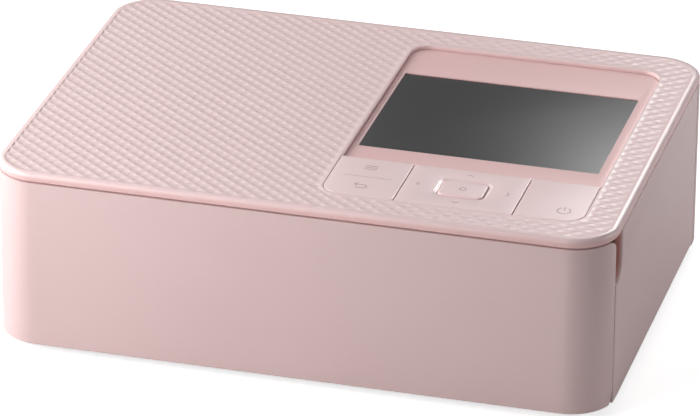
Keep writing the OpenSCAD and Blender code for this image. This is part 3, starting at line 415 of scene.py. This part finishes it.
def dye_film():
    """Dye ribbon: bands of two dyes take turns from front to rear, under a glossy film."""
    look = Look("ribbon_film", Coat_Weight=0.7, Coat_Roughness=0.1)
    bands = look.ramp((look.axis("y") * 0.8).math("SINE"), -0.05, 0.05)
    look.set("Base Color", look.mix(bands, linear(96, 30, 62), linear(58, 26, 70)))
    look.set("Roughness", look.noise(2, 2) * 0.1 + 0.2)
    return look.material


circuit_board = printed_board()
ribbon_film = dye_film()


# %% Printed marks
def printed(name, colour):
    """Ink that is printed on a key, a little uneven."""
    look = Look(name)
    ink = look.noise(0.5, 2)
    look.set("Base Color", look.mix(ink, shaded(colour, 0.93), linear(*colour)))
    look.set("Roughness", ink * 0.1 + 0.45)
    return look.material


key_print = printed("key_print", (186, 158, 157))

# %% [markdown]
# ## Making meshes from formulas
# Most visible edges of the printer are the same idea: an outline is carried upwards, and at each
# level it moves inwards a little along a quarter circle. So one function makes the outline, one
# makes the profile, and one joins the level rings into a closed mesh.


# %% Outlines, profiles and rings
CORNER_STEPS, EDGE_STEPS = 10, 5


def rounded_outline(x0, y0, x1, y1, radii):
    """Points round a rectangle whose four corners are arcs, from front left counterclockwise.

    Each arc is centre + radius * (cos a, sin a) with a running through a quarter turn."""
    r = np.maximum(np.broadcast_to(radii, 4), 0.01)
    centres = np.array([[x0 + r[0], y0 + r[0]], [x1 - r[1], y0 + r[1]],
                        [x1 - r[2], y1 - r[2]], [x0 + r[3], y1 - r[3]]])
    angles = np.radians(np.array([180, 270, 0, 90])[:, None] + np.linspace(0, 90, CORNER_STEPS + 1))
    ring = np.stack([np.cos(angles), np.sin(angles)], -1) * r[:, None, None] + centres[:, None, :]
    return ring.reshape(-1, 2)


def inset_box(box, radii):
    """A function of the inset: the outline of box, moved inwards, with its radii shrunk alike."""
    x0, y0, x1, y1 = box

    def outline(inset):
        """The outline at this inset."""
        return rounded_outline(x0 + inset, y0 + inset, x1 - inset, y1 - inset, np.array(radii) - inset)

    return outline


def eased_edge(z_from, z_to, radius):
    """(inset, height) pairs up a wall that ends in a quarter circle: inset = r - r*cos a."""
    a = np.linspace(0, math.pi / 2, EDGE_STEPS + 1)
    side = np.sign(z_to - z_from)
    return [(0.0, z_from)] + list(zip(radius * (1 - np.cos(a)), z_to - side * radius * (1 - np.sin(a))))


def rings_of(outline, levels):
    """Level rings, as an array of (levels, points, 3)."""
    return np.array([np.column_stack([outline(i), np.full(len(outline(i)), z)]) for i, z in levels])


# %% From rings to an object
def add_object(name, points_mm, faces, body, material, slot):
    """A mesh object from points in millimetres, riding on a body, with its finish."""
    mesh = bpy.data.meshes.new(name)
    mesh.from_pydata((np.asarray(points_mm) * MM).tolist(), [], faces)
    mesh.validate()
    return dress(bpy.data.objects.new(name, mesh), body, material)


def dress(thing, body, material, smooth_angle=32):
    """Links an object, gives it its material and smooth shading, and lets it ride on a body."""
    if thing.name not in bpy.context.scene.collection.objects:
        bpy.context.scene.collection.objects.link(thing)
    thing.data.materials.clear()
    thing.data.materials.append(material)
    thing.data.shade_smooth()
    thing.data.set_sharp_from_angle(angle=math.radians(smooth_angle))
    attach(thing, body)
    return thing


def ring_faces(levels, count, closed):
    """Quads between neighbouring rings. closed joins the last ring to the first."""
    ring = np.arange(levels if closed else levels - 1)[:, None] * count
    i = np.arange(count)[None, :]
    j = (i + 1) % count
    above = (ring + count) % (levels * count)
    return np.stack([ring + i, ring + j, above + j, above + i], -1).reshape(-1, 4).tolist()


def solid_from(rings):
    """Points and faces of a solid through level rings, with a flat bottom and top."""
    levels, count = rings.shape[:2]
    faces = ring_faces(levels, count, closed=False)
    faces.append(list(range(count))[::-1])
    faces.append(list(range((levels - 1) * count, levels * count)))
    return rings.reshape(-1, 3), faces


def tube_from(rings):
    """Points and faces of a ring-shaped solid: the last level joins the first again."""
    levels, count = rings.shape[:2]
    return rings.reshape(-1, 3), ring_faces(levels, count, closed=True)


# %% [markdown]
# ## Shells from the frame with softened edges
# The case walls already have their true shape in the frame, but a moulded edge is never knife sharp:
# it catches a thin line of light. A copy of the frame's mesh is welded, its flat faces are joined
# again, and a bevel rounds only the edges that a hand could touch. The bevel keeps its width at the
# ends of an edge, so at the foot it runs a little past the end of a wall.


# %% Softened copies
WELD_WITHIN = 2e-6
FLAT_WITHIN, SHARP_FROM = math.radians(0.6), math.radians(40)
BEVEL_STEPS = 3


def softened(node, name, body, material, slot, width=0.3, touch=None, keep_open=False):
    """A welded copy of a frame node whose edges are rounded by width millimetres.

    touch(middle of each edge in mm) gives each sharp edge its share of that width, from 0 to 1.
    With keep_open, the copy isn't dressed yet, because more is done to its shape."""
    mesh = frame["nodes"][node].data.copy()
    if "custom_normal" in mesh.attributes:
        mesh.attributes.remove(mesh.attributes["custom_normal"])
    weld = bmesh.new()
    weld.from_mesh(mesh)
    bmesh.ops.remove_doubles(weld, verts=weld.verts, dist=WELD_WITHIN)
    bmesh.ops.dissolve_limit(weld, angle_limit=FLAT_WITHIN, verts=weld.verts, edges=weld.edges)
    weight = weld.edges.layers.float.new("bevel_weight_edge")
    sharp = [e for e in weld.edges if e.is_manifold and e.calc_face_angle(0) > SHARP_FROM]
    if sharp and touch is not None:
        middle = np.array([(e.verts[0].co + e.verts[1].co) / 2 for e in sharp]) / MM
        for edge, wanted in zip(sharp, touch(middle)):
            edge[weight] = float(wanted)
    weld.to_mesh(mesh)
    weld.free()
    copy = bpy.data.objects.new(name, mesh)
    bpy.context.scene.collection.objects.link(copy)
    if touch is not None:
        bevel = copy.modifiers.new("softened_edges", "BEVEL")
        bevel.width, bevel.segments, bevel.limit_method = width * MM, BEVEL_STEPS, "WEIGHT"
        bevel.use_clamp_overlap = False
        apply_modifiers(copy)
    if not keep_open:
        dress(copy, body, material)
        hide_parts(node)
    return copy


def apply_modifiers(thing):
    """Replaces the mesh by what its modifiers make of it."""
    graph = bpy.context.evaluated_depsgraph_get()
    baked = bpy.data.meshes.new_from_object(thing.evaluated_get(graph))
    thing.modifiers.clear()
    old, thing.data = thing.data, baked
    bpy.data.meshes.remove(old)


def case_distance(p):
    """How far a point lies inside the case's outline: the distance to a rounded rectangle."""
    q = np.abs(p[:, :2]) - np.array([HALF_W - CASE_R, HALF_D - CASE_R])
    outside = np.hypot(*np.maximum(q, 0).T)
    return CASE_R - (outside + np.minimum(q.max(1), 0))


SEAM_SHARE = 0.35
FOOT_EDGE_Z = cover_low[2] + 8
OUTLINE_WITHIN = 0.08


def on_outside(p):
    """Whether a point lies on the case's outline."""
    return np.abs(case_distance(p)) < OUTLINE_WITHIN


def outer_edges(p):
    """Full width along the foot of the case, and a share of it beside the narrow seams."""
    return on_outside(p) * np.where(p[:, 2] < FOOT_EDGE_Z, 1, SEAM_SHARE)


# %% The case, the front cover and the ink door
front_shell = softened("front_cover", "front_cover_shell", "front_cover", front_pink, "front_shell",
                       0.35, outer_edges)
softened("ink_door", "ink_door_shell", "ink_door", door_pink_groove_shade, "case_shell", 0.3, outer_edges)
rear_shell = softened("rear_case", "rear_case_shell", "root", case_pink, "case_shell", 0.3, outer_edges)
softened("base_tray", "base_tray_shell", "root", under_pink, "case_underside")
print("front cover:", len(front_shell.data.polygons), "faces, rear case:", len(rear_shell.data.polygons))

# %% [markdown]
# ## The relief of the top cover
# The top is pressed with a net of fine ridges. Two families of lines cross at a slant, so that the
# cells between them are diamonds about 5.2 mm wide and 4.2 mm deep, and every cell is hollowed out
# like a shallow dish. The ridges of one family stand a little lower than those of the other. A bump
# map would look flat at the edge of the cover, so the relief is real geometry: a sheet with the
# relief on its underside is cut out of the cover.


# %% A height for every point of the net
CELL_X, CELL_Y = 5.176, 4.165
DISH_DEPTH = 0.24
CROSS_RIDGE = 0.85
FADE = 0.8
NET_S0, NET_T0 = 0.52, 0.12
RELIEF_IN_FRONT, RELIEF_IN_REAR, RELIEF_IN_PANEL = 1.5, 4.6, 0.75


def net_position(x, y):
    """s and t count the ridges of the two families: s = x/CELL_X + y/CELL_Y, t = x/CELL_X - y/CELL_Y."""
    return x / CELL_X + y / CELL_Y, x / CELL_X - y / CELL_Y


def dish(x, y):
    """Depth below the ridges: depth * (1 - 4a^2) * (1 - k * 4b^2), so t has the weaker ridges."""
    s, t = net_position(x, y)
    a = (s - NET_S0) % 1 - 0.5
    b = (t - NET_T0) % 1 - 0.5
    return DISH_DEPTH * (1 - 4 * a * a) * (1 - CROSS_RIDGE * 4 * b * b)


def box_distance(x, y, x0, y0, x1, y1, radius):
    """Signed distance to a rounded rectangle, negative inside."""
    qx = np.abs(x - (x0 + x1) / 2) - (x1 - x0) / 2 + radius
    qy = np.abs(y - (y0 + y1) / 2) - (y1 - y0) / 2 + radius
    return np.hypot(np.maximum(qx, 0), np.maximum(qy, 0)) + np.minimum(np.maximum(qx, qy), 0) - radius


def inside_relief(x, y):
    """How far a point lies inside the pressed zone, between the cover's edge and the panel's rim."""
    edge = box_distance(x, y, -HALF_W + RELIEF_IN_FRONT, -HALF_D + RELIEF_IN_FRONT,
                        HALF_W - RELIEF_IN_FRONT, HALF_D - RELIEF_IN_REAR, CASE_R - RELIEF_IN_FRONT)
    panel = box_distance(x, y, panel_x0 - RELIEF_IN_PANEL, panel_y0 - RELIEF_IN_PANEL,
                         panel_x1 + RELIEF_IN_PANEL, panel_y1 + RELIEF_IN_PANEL, PANEL_R + RELIEF_IN_PANEL)
    return np.minimum(-edge, panel)


# %% The pressing tool: a sheet with the relief below and a flat back
STEPS = 4
CLEAR_ABOVE, PRESSED_IN, BACK_ABOVE = 0.08, 0.01, 3


def relief_grid():
    """Points of the relief, their numbers on a grid, and triangles whose long sides lie on the ridges."""
    nx, ny = (int(2 * half / cell * 2 * STEPS) for half, cell in ((HALF_W, CELL_X), (HALF_D, CELL_Y)))
    ix, iy = np.meshgrid(np.arange(nx + 1), np.arange(ny + 1), indexing="ij")
    start = (NET_S0 + NET_T0) / 2 * CELL_X, (NET_S0 - NET_T0) / 2 * CELL_Y
    x = start[0] + (ix - nx // 2) * CELL_X / 2 / STEPS
    y = start[1] + (iy - ny // 2) * CELL_Y / 2 / STEPS
    depth = inside_relief(x, y)
    faded = dish(x, y) * np.clip(depth / FADE, 0, 1) + PRESSED_IN
    z = TOP + np.where(depth > 0, -faded, CLEAR_ABOVE)
    index = ix * (ny + 1) + iy
    a, b, c, d = index[:-1, :-1], index[1:, :-1], index[1:, 1:], index[:-1, 1:]
    odd = ((ix + iy + nx // 2 + ny // 2) % 2 == 1)[:-1, :-1]
    first = np.where(odd[..., None], np.stack([a, d, b], -1), np.stack([a, c, b], -1))
    second = np.where(odd[..., None], np.stack([b, d, c], -1), np.stack([a, d, c], -1))
    triangles = first.reshape(-1, 3).tolist() + second.reshape(-1, 3).tolist()
    return np.stack([x, y, z], -1).reshape(-1, 3), index, triangles


def pressing_tool():
    """The relief's grid, closed by walls and a flat back above the cover."""
    under, index, triangles = relief_grid()
    over = under * [1, 1, 0] + [0, 0, TOP + BACK_ABOVE]
    count = len(under)
    rim = np.concatenate([index[:, 0], index[-1, 1:], index[-2::-1, -1], index[0, -2:0:-1]])
    after = np.roll(rim, -1)
    walls = np.stack([rim, after, after + count, rim + count], -1)
    faces = triangles + walls.tolist() + [(rim + count).tolist()]
    mesh = bpy.data.meshes.new("pressing_tool")
    mesh.from_pydata((np.concatenate([under, over]) * MM).tolist(), [], faces)
    loose = bmesh.new()
    loose.from_mesh(mesh)
    bmesh.ops.delete(loose, geom=[v for v in loose.verts if not v.link_faces], context="VERTS")
    loose.to_mesh(mesh)
    loose.free()
    tool = bpy.data.objects.new("pressing_tool", mesh)
    bpy.context.scene.collection.objects.link(tool)
    return tool


# %% Pressing the relief into the cover
AT_TOP, BESIDE_PANEL = 0.05, 0.1


def cover_touch(p):
    """The cover's outer edges, and the rim of the panel's cut-out."""
    cut_out = (p[:, 2] > TOP - AT_TOP) & (p[:, 0] > panel_x0 - BESIDE_PANEL)
    return on_outside(p) | cut_out


cover = softened("top_cover", "top_cover_pressed", "root", relief_pink_painted_sheen, "textured_cover", 0.3,
                 cover_touch, keep_open=True)
tool = pressing_tool()
cut = cover.modifiers.new("pressing", "BOOLEAN")
cut.operation, cut.solver, cut.object = "DIFFERENCE", "MANIFOLD", tool
apply_modifiers(cover)
bpy.data.objects.remove(tool)
dress(cover, "root", relief_pink_painted_sheen, 26)
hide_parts("top_cover")
print("pressed cover:", len(cover.data.polygons), "faces")

# %% [markdown]
# ## The display and the keys
# The surround is one glossy plate that lies a millimetre below the cover, with the display's window
# in it. Each key is a cap with slightly rounded edges and deep walls, so that the gap between two
# caps reads as a dark line.

# %% The glossy surround
BEZEL_EDGE, WINDOW_EDGE, PANE_EDGE = 0.25, 0.12, 0.06
WINDOW_R, WINDOW_GAP = 0.5, 0.1
SMALL_R = 0.4
KEY_R = PANEL_R - KEY_GAP


def ring_plate(outer, inner, z0, z1, edge, inner_edge):
    """A plate with a hole: up the outer wall, over the rounded edges, and down the hole's wall."""
    up = rings_of(outer, eased_edge(z0, z1, edge))
    down = rings_of(inner, [(-i, z) for i, z in eased_edge(z0, z1, inner_edge)])[::-1]
    return np.concatenate([up, down])


surround = inset_box((bezel_low[0], bezel_low[1], bezel_high[0], bezel_high[1]),
                     [SMALL_R, SMALL_R, KEY_R, KEY_R])
window = inset_box((glass_low[0] - WINDOW_GAP, glass_low[1] - WINDOW_GAP,
                    glass_high[0] + WINDOW_GAP, glass_high[1] + WINDOW_GAP), [WINDOW_R] * 4)
plate = ring_plate(surround, window, bezel_low[2], bezel_high[2], BEZEL_EDGE, WINDOW_EDGE)
bezel = add_object("display_surround", *tube_from(plate), "root", bezel_gloss, "bezel_gloss")
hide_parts("display_bezel")

# %% The display's glass
pane = inset_box((glass_low[0], glass_low[1], glass_high[0], glass_high[1]), [WINDOW_R] * 4)
levels = eased_edge(glass_low[2], glass_high[2], PANE_EDGE)
glass = add_object("display_pane", *solid_from(rings_of(pane, levels)), "root", screen_glass,
                   "screen_glass")
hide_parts("display_glass")
print("display", np.round(glass_high - glass_low, 1), "mm")

# %% Key caps
KEY_EDGE, OK_EDGE = 0.3, 0.55
GROW = 0.05
KEY_TOP = TOP - 0.05


def key_outline(low, high, radii):
    """The outline of a key's box, grown a little so that the gaps beside it are narrow."""
    return inset_box((low[0] - GROW, low[1] - GROW, high[0] + GROW, high[1] + GROW), radii)


def key_cap(name, body, outline, edge=KEY_EDGE):
    """One cap: a wall up from its underside, a rounded edge and a flat top."""
    rings = rings_of(outline, eased_edge(keys_z, KEY_TOP, edge))
    return add_object(name, *solid_from(rings), body, key_pink, "key_caps")


rocker = key_cap("menu_back_cap", "menu_back_rocker",
                 key_outline(left_low, left_high, [KEY_R, SMALL_R, SMALL_R, SMALL_R]))
power = key_cap("power_cap", "power_button",
                key_outline(right_low, right_high, [SMALL_R, KEY_R, SMALL_R, SMALL_R]))

# %% The pad dips towards its middle key
OK_R = 1.8
MOAT_WIDTH, MOAT_DEPTH = 1.15, 0.5
LIP_WIDTH, LIP_DROP, FOOT_WIDTH, FOOT_DROP = 0.2, 0.05, 0.05, 0.1
pad = key_outline(pad_low, pad_high, [SMALL_R] * 4)
hole = inset_box((ok_low[0] - KEY_GAP, ok_low[1] - KEY_GAP, ok_high[0] + KEY_GAP, ok_high[1] + KEY_GAP),
                 [OK_R + KEY_GAP] * 4)
outer_rings = rings_of(pad, eased_edge(keys_z, KEY_TOP, KEY_EDGE))
moat = [(-MOAT_WIDTH, KEY_TOP), (-MOAT_WIDTH + LIP_WIDTH, KEY_TOP - LIP_DROP),
        (-FOOT_WIDTH, KEY_TOP - MOAT_DEPTH), (0, KEY_TOP - MOAT_DEPTH - FOOT_DROP), (0, keys_z)]
pad_rings = np.concatenate([outer_rings, rings_of(hole, moat)])
pad_cap = add_object("nav_pad_cap", *tube_from(pad_rings), "nav_pad", key_pink, "key_caps")
ok_outline = inset_box((ok_low[0], ok_low[1], ok_high[0], ok_high[1]), [OK_R] * 4)
ok_cap = key_cap("ok_cap", "ok_button", ok_outline, OK_EDGE)


# %% The caps take the place of the plain keys
for cap, node in ((rocker, "menu_back_rocker"), (pad_cap, "nav_pad"), (ok_cap, "ok_button"),
                  (power, "power_button")):
    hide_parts(node)
print("keys:", [o.name for o in (rocker, pad_cap, ok_cap, power)])

# %% [markdown]
# ## Marks on the keys
# The keys carry thin printed marks: arrows, a return arrow, a power symbol and a few bars. A mark is
# a ribbon of constant width along a short path, lying a hair above the cap, so it prints crisply
# from every side and moves with its key.


# %% Ribbons along a path
MARK_LIFT, MARK_SUNK = 0.03, 0.02


def ribbon(path, width, z):
    """A flat strip: each point of the path moves half a width to both sides along its normal."""
    p = np.asarray(path, float)
    along = np.gradient(p, axis=0)
    along /= np.linalg.norm(along, axis=1)[:, None]
    side = np.column_stack([-along[:, 1], along[:, 0]]) * width / 2
    flat = np.concatenate([p + side, p - side])
    low = np.column_stack([flat, np.full(len(flat), z - MARK_SUNK)])
    points = np.concatenate([low, low + [0, 0, MARK_SUNK + MARK_LIFT]])
    n = len(p)
    i = np.arange(n - 1)
    bottom = np.stack([i, i + 1, n + i + 1, n + i], -1)
    top = bottom[:, ::-1] + 2 * n
    left = np.stack([i + 1, i, i + 2 * n, i + 1 + 2 * n], -1)
    far = np.stack([n + i, n + i + 1, n + i + 1 + 2 * n, n + i + 2 * n], -1)
    ends = [[0, n, 3 * n, 2 * n], [2 * n - 1, n - 1, 3 * n - 1, 4 * n - 1]]
    return points, np.concatenate([bottom, top, left, far]).tolist() + ends


def mark(name, strips, width, body):
    """One mark made of several ribbons on top of a key."""
    points, faces, start = [], [], 0
    for path in strips:
        p, f = ribbon(path, width, KEY_TOP)
        points.append(p)
        faces += [[k + start for k in face] for face in f]
        start += len(p)
    return add_object(name, np.concatenate(points), faces, body, key_print, "key_caps")


def arc_path(cx, cy, r, a0, a1, steps):
    """Points along an arc: centre + r * (cos a, sin a), with a from a0 to a1 degrees."""
    a = np.radians(np.linspace(a0, a1, steps))
    return np.column_stack([cx + r * np.cos(a), cy + r * np.sin(a)])


# %% Arrows and dot on the pad and its middle key
MARK_W = 0.28
DOT_R = 0.9
CHEVRON_X, CHEVRON_Y, CHEVRON_R = 13.3, 9.2, 1.0
CHEVRON = np.array([[-0.5, 1], [0.1, 0.12], [0.1, -0.12], [-0.5, -1]]) * CHEVRON_R
pad_x, pad_y = (pad_low[0] + pad_high[0]) / 2, (pad_low[1] + pad_high[1]) / 2
arrows = []
for turn, reach in ((0, CHEVRON_X), (90, CHEVRON_Y), (180, CHEVRON_X), (270, CHEVRON_Y)):
    a = math.radians(turn)
    spin = np.array([[math.cos(a), math.sin(a)], [-math.sin(a), math.cos(a)]])
    arrows.append((CHEVRON + [reach, 0]) @ spin + [pad_x, pad_y])
mark("pad_arrows", arrows, MARK_W, "nav_pad")
mark("ok_dot", [arc_path(pad_x, pad_y, DOT_R, 0, 360, 25)], MARK_W, "ok_button")

# %% Bars, divider and return arrow on the left key
BARS_Y, BARS_APART, BAR_HALF, BAR_W = -35.0, 1.1, 1.9, 0.34
DIVIDER_Y, DIVIDER_W = -42.2, 0.16
DIVIDER_X = (8, 15, 22.5)
HOOK_Y, HOOK_R, HOOK_W = -48.6, 1.0, 0.3
BARB_X, BARB_Y = 1.0, 0.9
left_x = (left_low[0] + left_high[0]) / 2 - 0.4
bars = [[(left_x + side * BAR_HALF, BARS_Y - row * BARS_APART) for side in (-1, 0, 1)] for row in range(3)]
mark("menu_bars", bars, BAR_W, "menu_back_rocker")
mark("menu_divider", [[(x, DIVIDER_Y) for x in DIVIDER_X]], DIVIDER_W, "menu_back_rocker")
hook = np.concatenate([[(left_x - 1.7, HOOK_Y + HOOK_R), (left_x + 0.6, HOOK_Y + HOOK_R)],
                       arc_path(left_x + 0.9, HOOK_Y, HOOK_R, 88, -88, 12),
                       [(left_x - 1.2, HOOK_Y - HOOK_R)]])
barb = [(left_x - 0.9 - (1 - abs(side)) * BARB_X, HOOK_Y + HOOK_R + side * BARB_Y) for side in (1, 0, -1)]
mark("return_arrow", [hook, barb], HOOK_W, "menu_back_rocker")

# %% The power symbol: an open ring and a stroke
POWER_X, POWER_Y, POWER_R, POWER_W = 73.8, -48.5, 1.9, 0.3
STROKE = (2.3, 1.2, 0.2)
ring = arc_path(POWER_X, POWER_Y, POWER_R, 120, 420, 30)
stroke = [(POWER_X, POWER_Y + rise) for rise in STROKE]
mark("power_symbol", [ring, stroke], POWER_W, "power_button")

# %% [markdown]
# ## The mechanism
# Everything inside keeps its shape from the frame. Turned and moulded parts are welded copies, so
# that light runs smoothly round them, and flat parts such as boards and plates take only a finish.

# %% Finishes for the frame's own parts
def slot_of(node):
    """The material slot that the frame gives a node."""
    return next(s["material_slot"] for s in frame["record"]["subparts"] if s["node"] == node)


flat_parts = {
    inner_panel: ["front_inner_panel", "panel_frame", "nav_gimbal", "paper_guide", "pinch_bracket"],
    dark_module: ["lcd_module", "key_switches"],
    circuit_board: ["key_board", "main_board"],
    zinc_plate: ["chassis", "gear_bracket", "head_bracket"],
    cast_aluminium: ["heat_sink"],
    latch_plastic: ["cassette_latch"],
    steel: ["usb_c_port", "usb_socket", "card_socket"],
    ribbon_film: ["ribbon_web"],
}
for material, nodes in flat_parts.items():
    for node in nodes:
        part = frame["nodes"][node]
        part.data.materials.clear()
        part.data.materials.append(material)
        slot_of(node)

# %% Welded copies of turned and moulded parts
round_parts = {
    steel: ["front_hinge_pins", "ink_hinge_pins", "head_pivot_shaft", "head_springs", "case_screws",
            "feed_roller"],
    brass: ["bushes", "feed_pinion", "pickup_pinion"],
    roller_rubber: ["platen_roller", "pickup_roller", "pinch_roller"],
    gear_plastic: ["feed_gear", "pickup_gear", "reduction_gear", "take_up_gear"],
    zinc_plate: ["feed_motor", "pickup_motor"],
    ceramic: ["print_head"],
    cassette_plastic: ["cassette_body"],
    ribbon_film: ["supply_spool", "take_up_spool"],
    foot_rubber: ["feet"],
    dark_module: ["board_parts", "power_jack"],
}
for material, nodes in round_parts.items():
    for node in nodes:
        body = frame["nodes"][node]["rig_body"]
        softened(node, node + "_finished", body, material, slot_of(node))
print("parts finished:", sum(map(len, flat_parts.values())) + sum(map(len, round_parts.values())))

# %% [markdown]
# ## Floor and light
# The photograph is a cut-out on white. Broad soft lamps stand at the left and the left front, weaker
# ones at the right and behind, and the room around is white. A lamp in Blender can light matt
# surfaces without showing in glossy ones, or the other way round. So two panels behind the printer
# are seen only in reflections, where they make the bright end of the display, and a third one lights
# the top from behind without being mirrored. The floor is bright white to the camera but still takes
# the printer's shadow.


# %% Floor
FLOOR_GREY, FLOOR_GLOW = 0.82, 0.7
FLOOR_HALF = 4.0


def white_floor():
    """White floor: a part of its brightness is light of its own, which only the camera sees."""
    look = Look("floor_white", Roughness=0.9)
    look.shader.inputs["Base Color"].default_value = (FLOOR_GREY, FLOOR_GREY, FLOOR_GREY, 1)
    rays = look.node("ShaderNodeLightPath", {}, []).outputs
    strength = look.seen_directly(rays) * FLOOR_GLOW
    glow = look.node("ShaderNodeEmission", {}, {"Color": (1, 1, 1, 1), "Strength": strength})
    both = look.node("ShaderNodeAddShader", {}, [look.shader.outputs[0], glow.outputs[0]])
    look.tree.links.new(both.outputs[0], look.tree.nodes["Material Output"].inputs["Surface"])
    return look.material


floor_mesh = bpy.data.meshes.new("floor")
corners = [(x * FLOOR_HALF, y * FLOOR_HALF, 0) for x, y in ((-1, -1), (1, -1), (1, 1), (-1, 1))]
floor_mesh.from_pydata(corners, [], [(0, 1, 2, 3)])
floor_mesh.materials.append(white_floor())
floor = bpy.data.objects.new("floor", floor_mesh)
bpy.context.scene.collection.objects.link(floor)


# %% Lamps
def lamp(name, place, target, size, power, lights=True, mirrored=True):
    """A soft lamp of width and height size at place, in metres, that faces target.

    lights says whether it lights matt surfaces, mirrored whether glossy ones show it."""
    data = bpy.data.lights.new(name, "AREA")
    data.shape, data.energy = "RECTANGLE", power
    data.size, data.size_y = size
    holder = bpy.data.objects.new(name, data)
    holder.location = place
    aim = Vector(target) - Vector(place)
    holder.rotation_euler = aim.to_track_quat("-Z", "Y").to_euler()
    holder.visible_diffuse, holder.visible_glossy = lights, mirrored
    bpy.context.scene.collection.objects.link(holder)
    return holder


MIDDLE, UPPER_MIDDLE, OVER_DISPLAY = (0, 0, 0.03), (0, 0, 0.05), (0.04, 0, 0.057)
lamp("left_front_lamp", (-0.34, -0.42, 0.26), MIDDLE, (0.3, 0.3), 2.23)
lamp("left_lamp", (-1.0, -0.1, 0.5), MIDDLE, (0.6, 0.6), 10.41)
lamp("rear_left_lamp", (-0.7, 1.0, 0.7), UPPER_MIDDLE, (0.6, 0.6), 1.78)
lamp("top_lamp", (-0.2, 0.1, 1.2), UPPER_MIDDLE, (1.0, 1.0), 0.18)
lamp("right_lamp", (1.2, -0.1, 0.5), MIDDLE, (0.7, 0.7), 1.0)
lamp("right_rear_lamp", (1.0, 0.3, 0.3), MIDDLE, (0.4, 0.4), 2.63)
lamp("far_right_lamp", (2.5, 0, 0.8), MIDDLE, (0.8, 0.8), 0.95)
lamp("rear_panel", (0.16, 0.42, 0.24), OVER_DISPLAY, (0.40, 0.30), 0.727, mirrored=False)
lamp("display_panel", (0.20, 0.42, 0.34), OVER_DISPLAY, (0.3, 0.2), 1.45, lights=False)
lamp("high_panel", (0.12, 0.42, 0.44), OVER_DISPLAY, (0.3, 0.2), 1.3, lights=False)

# %% The white room: full white to the camera, dimmer in reflections, and no light on matt surfaces
MIRRORED = 0.27
world = bpy.data.worlds.new("white_room")
bpy.context.scene.world = world
world.use_nodes = True
room = Recipe(world.node_tree)
rays = room.node("ShaderNodeLightPath", {}, []).outputs
strength = room.seen_directly(rays) + Value(room, rays["Is Glossy Ray"]) * MIRRORED
background = room.tree.nodes["Background"]
room.tree.links.new(strength.socket, background.inputs["Strength"])
background.inputs["Color"].default_value = (1, 1, 1, 1)
bpy.context.scene.view_settings.view_transform = "Standard"
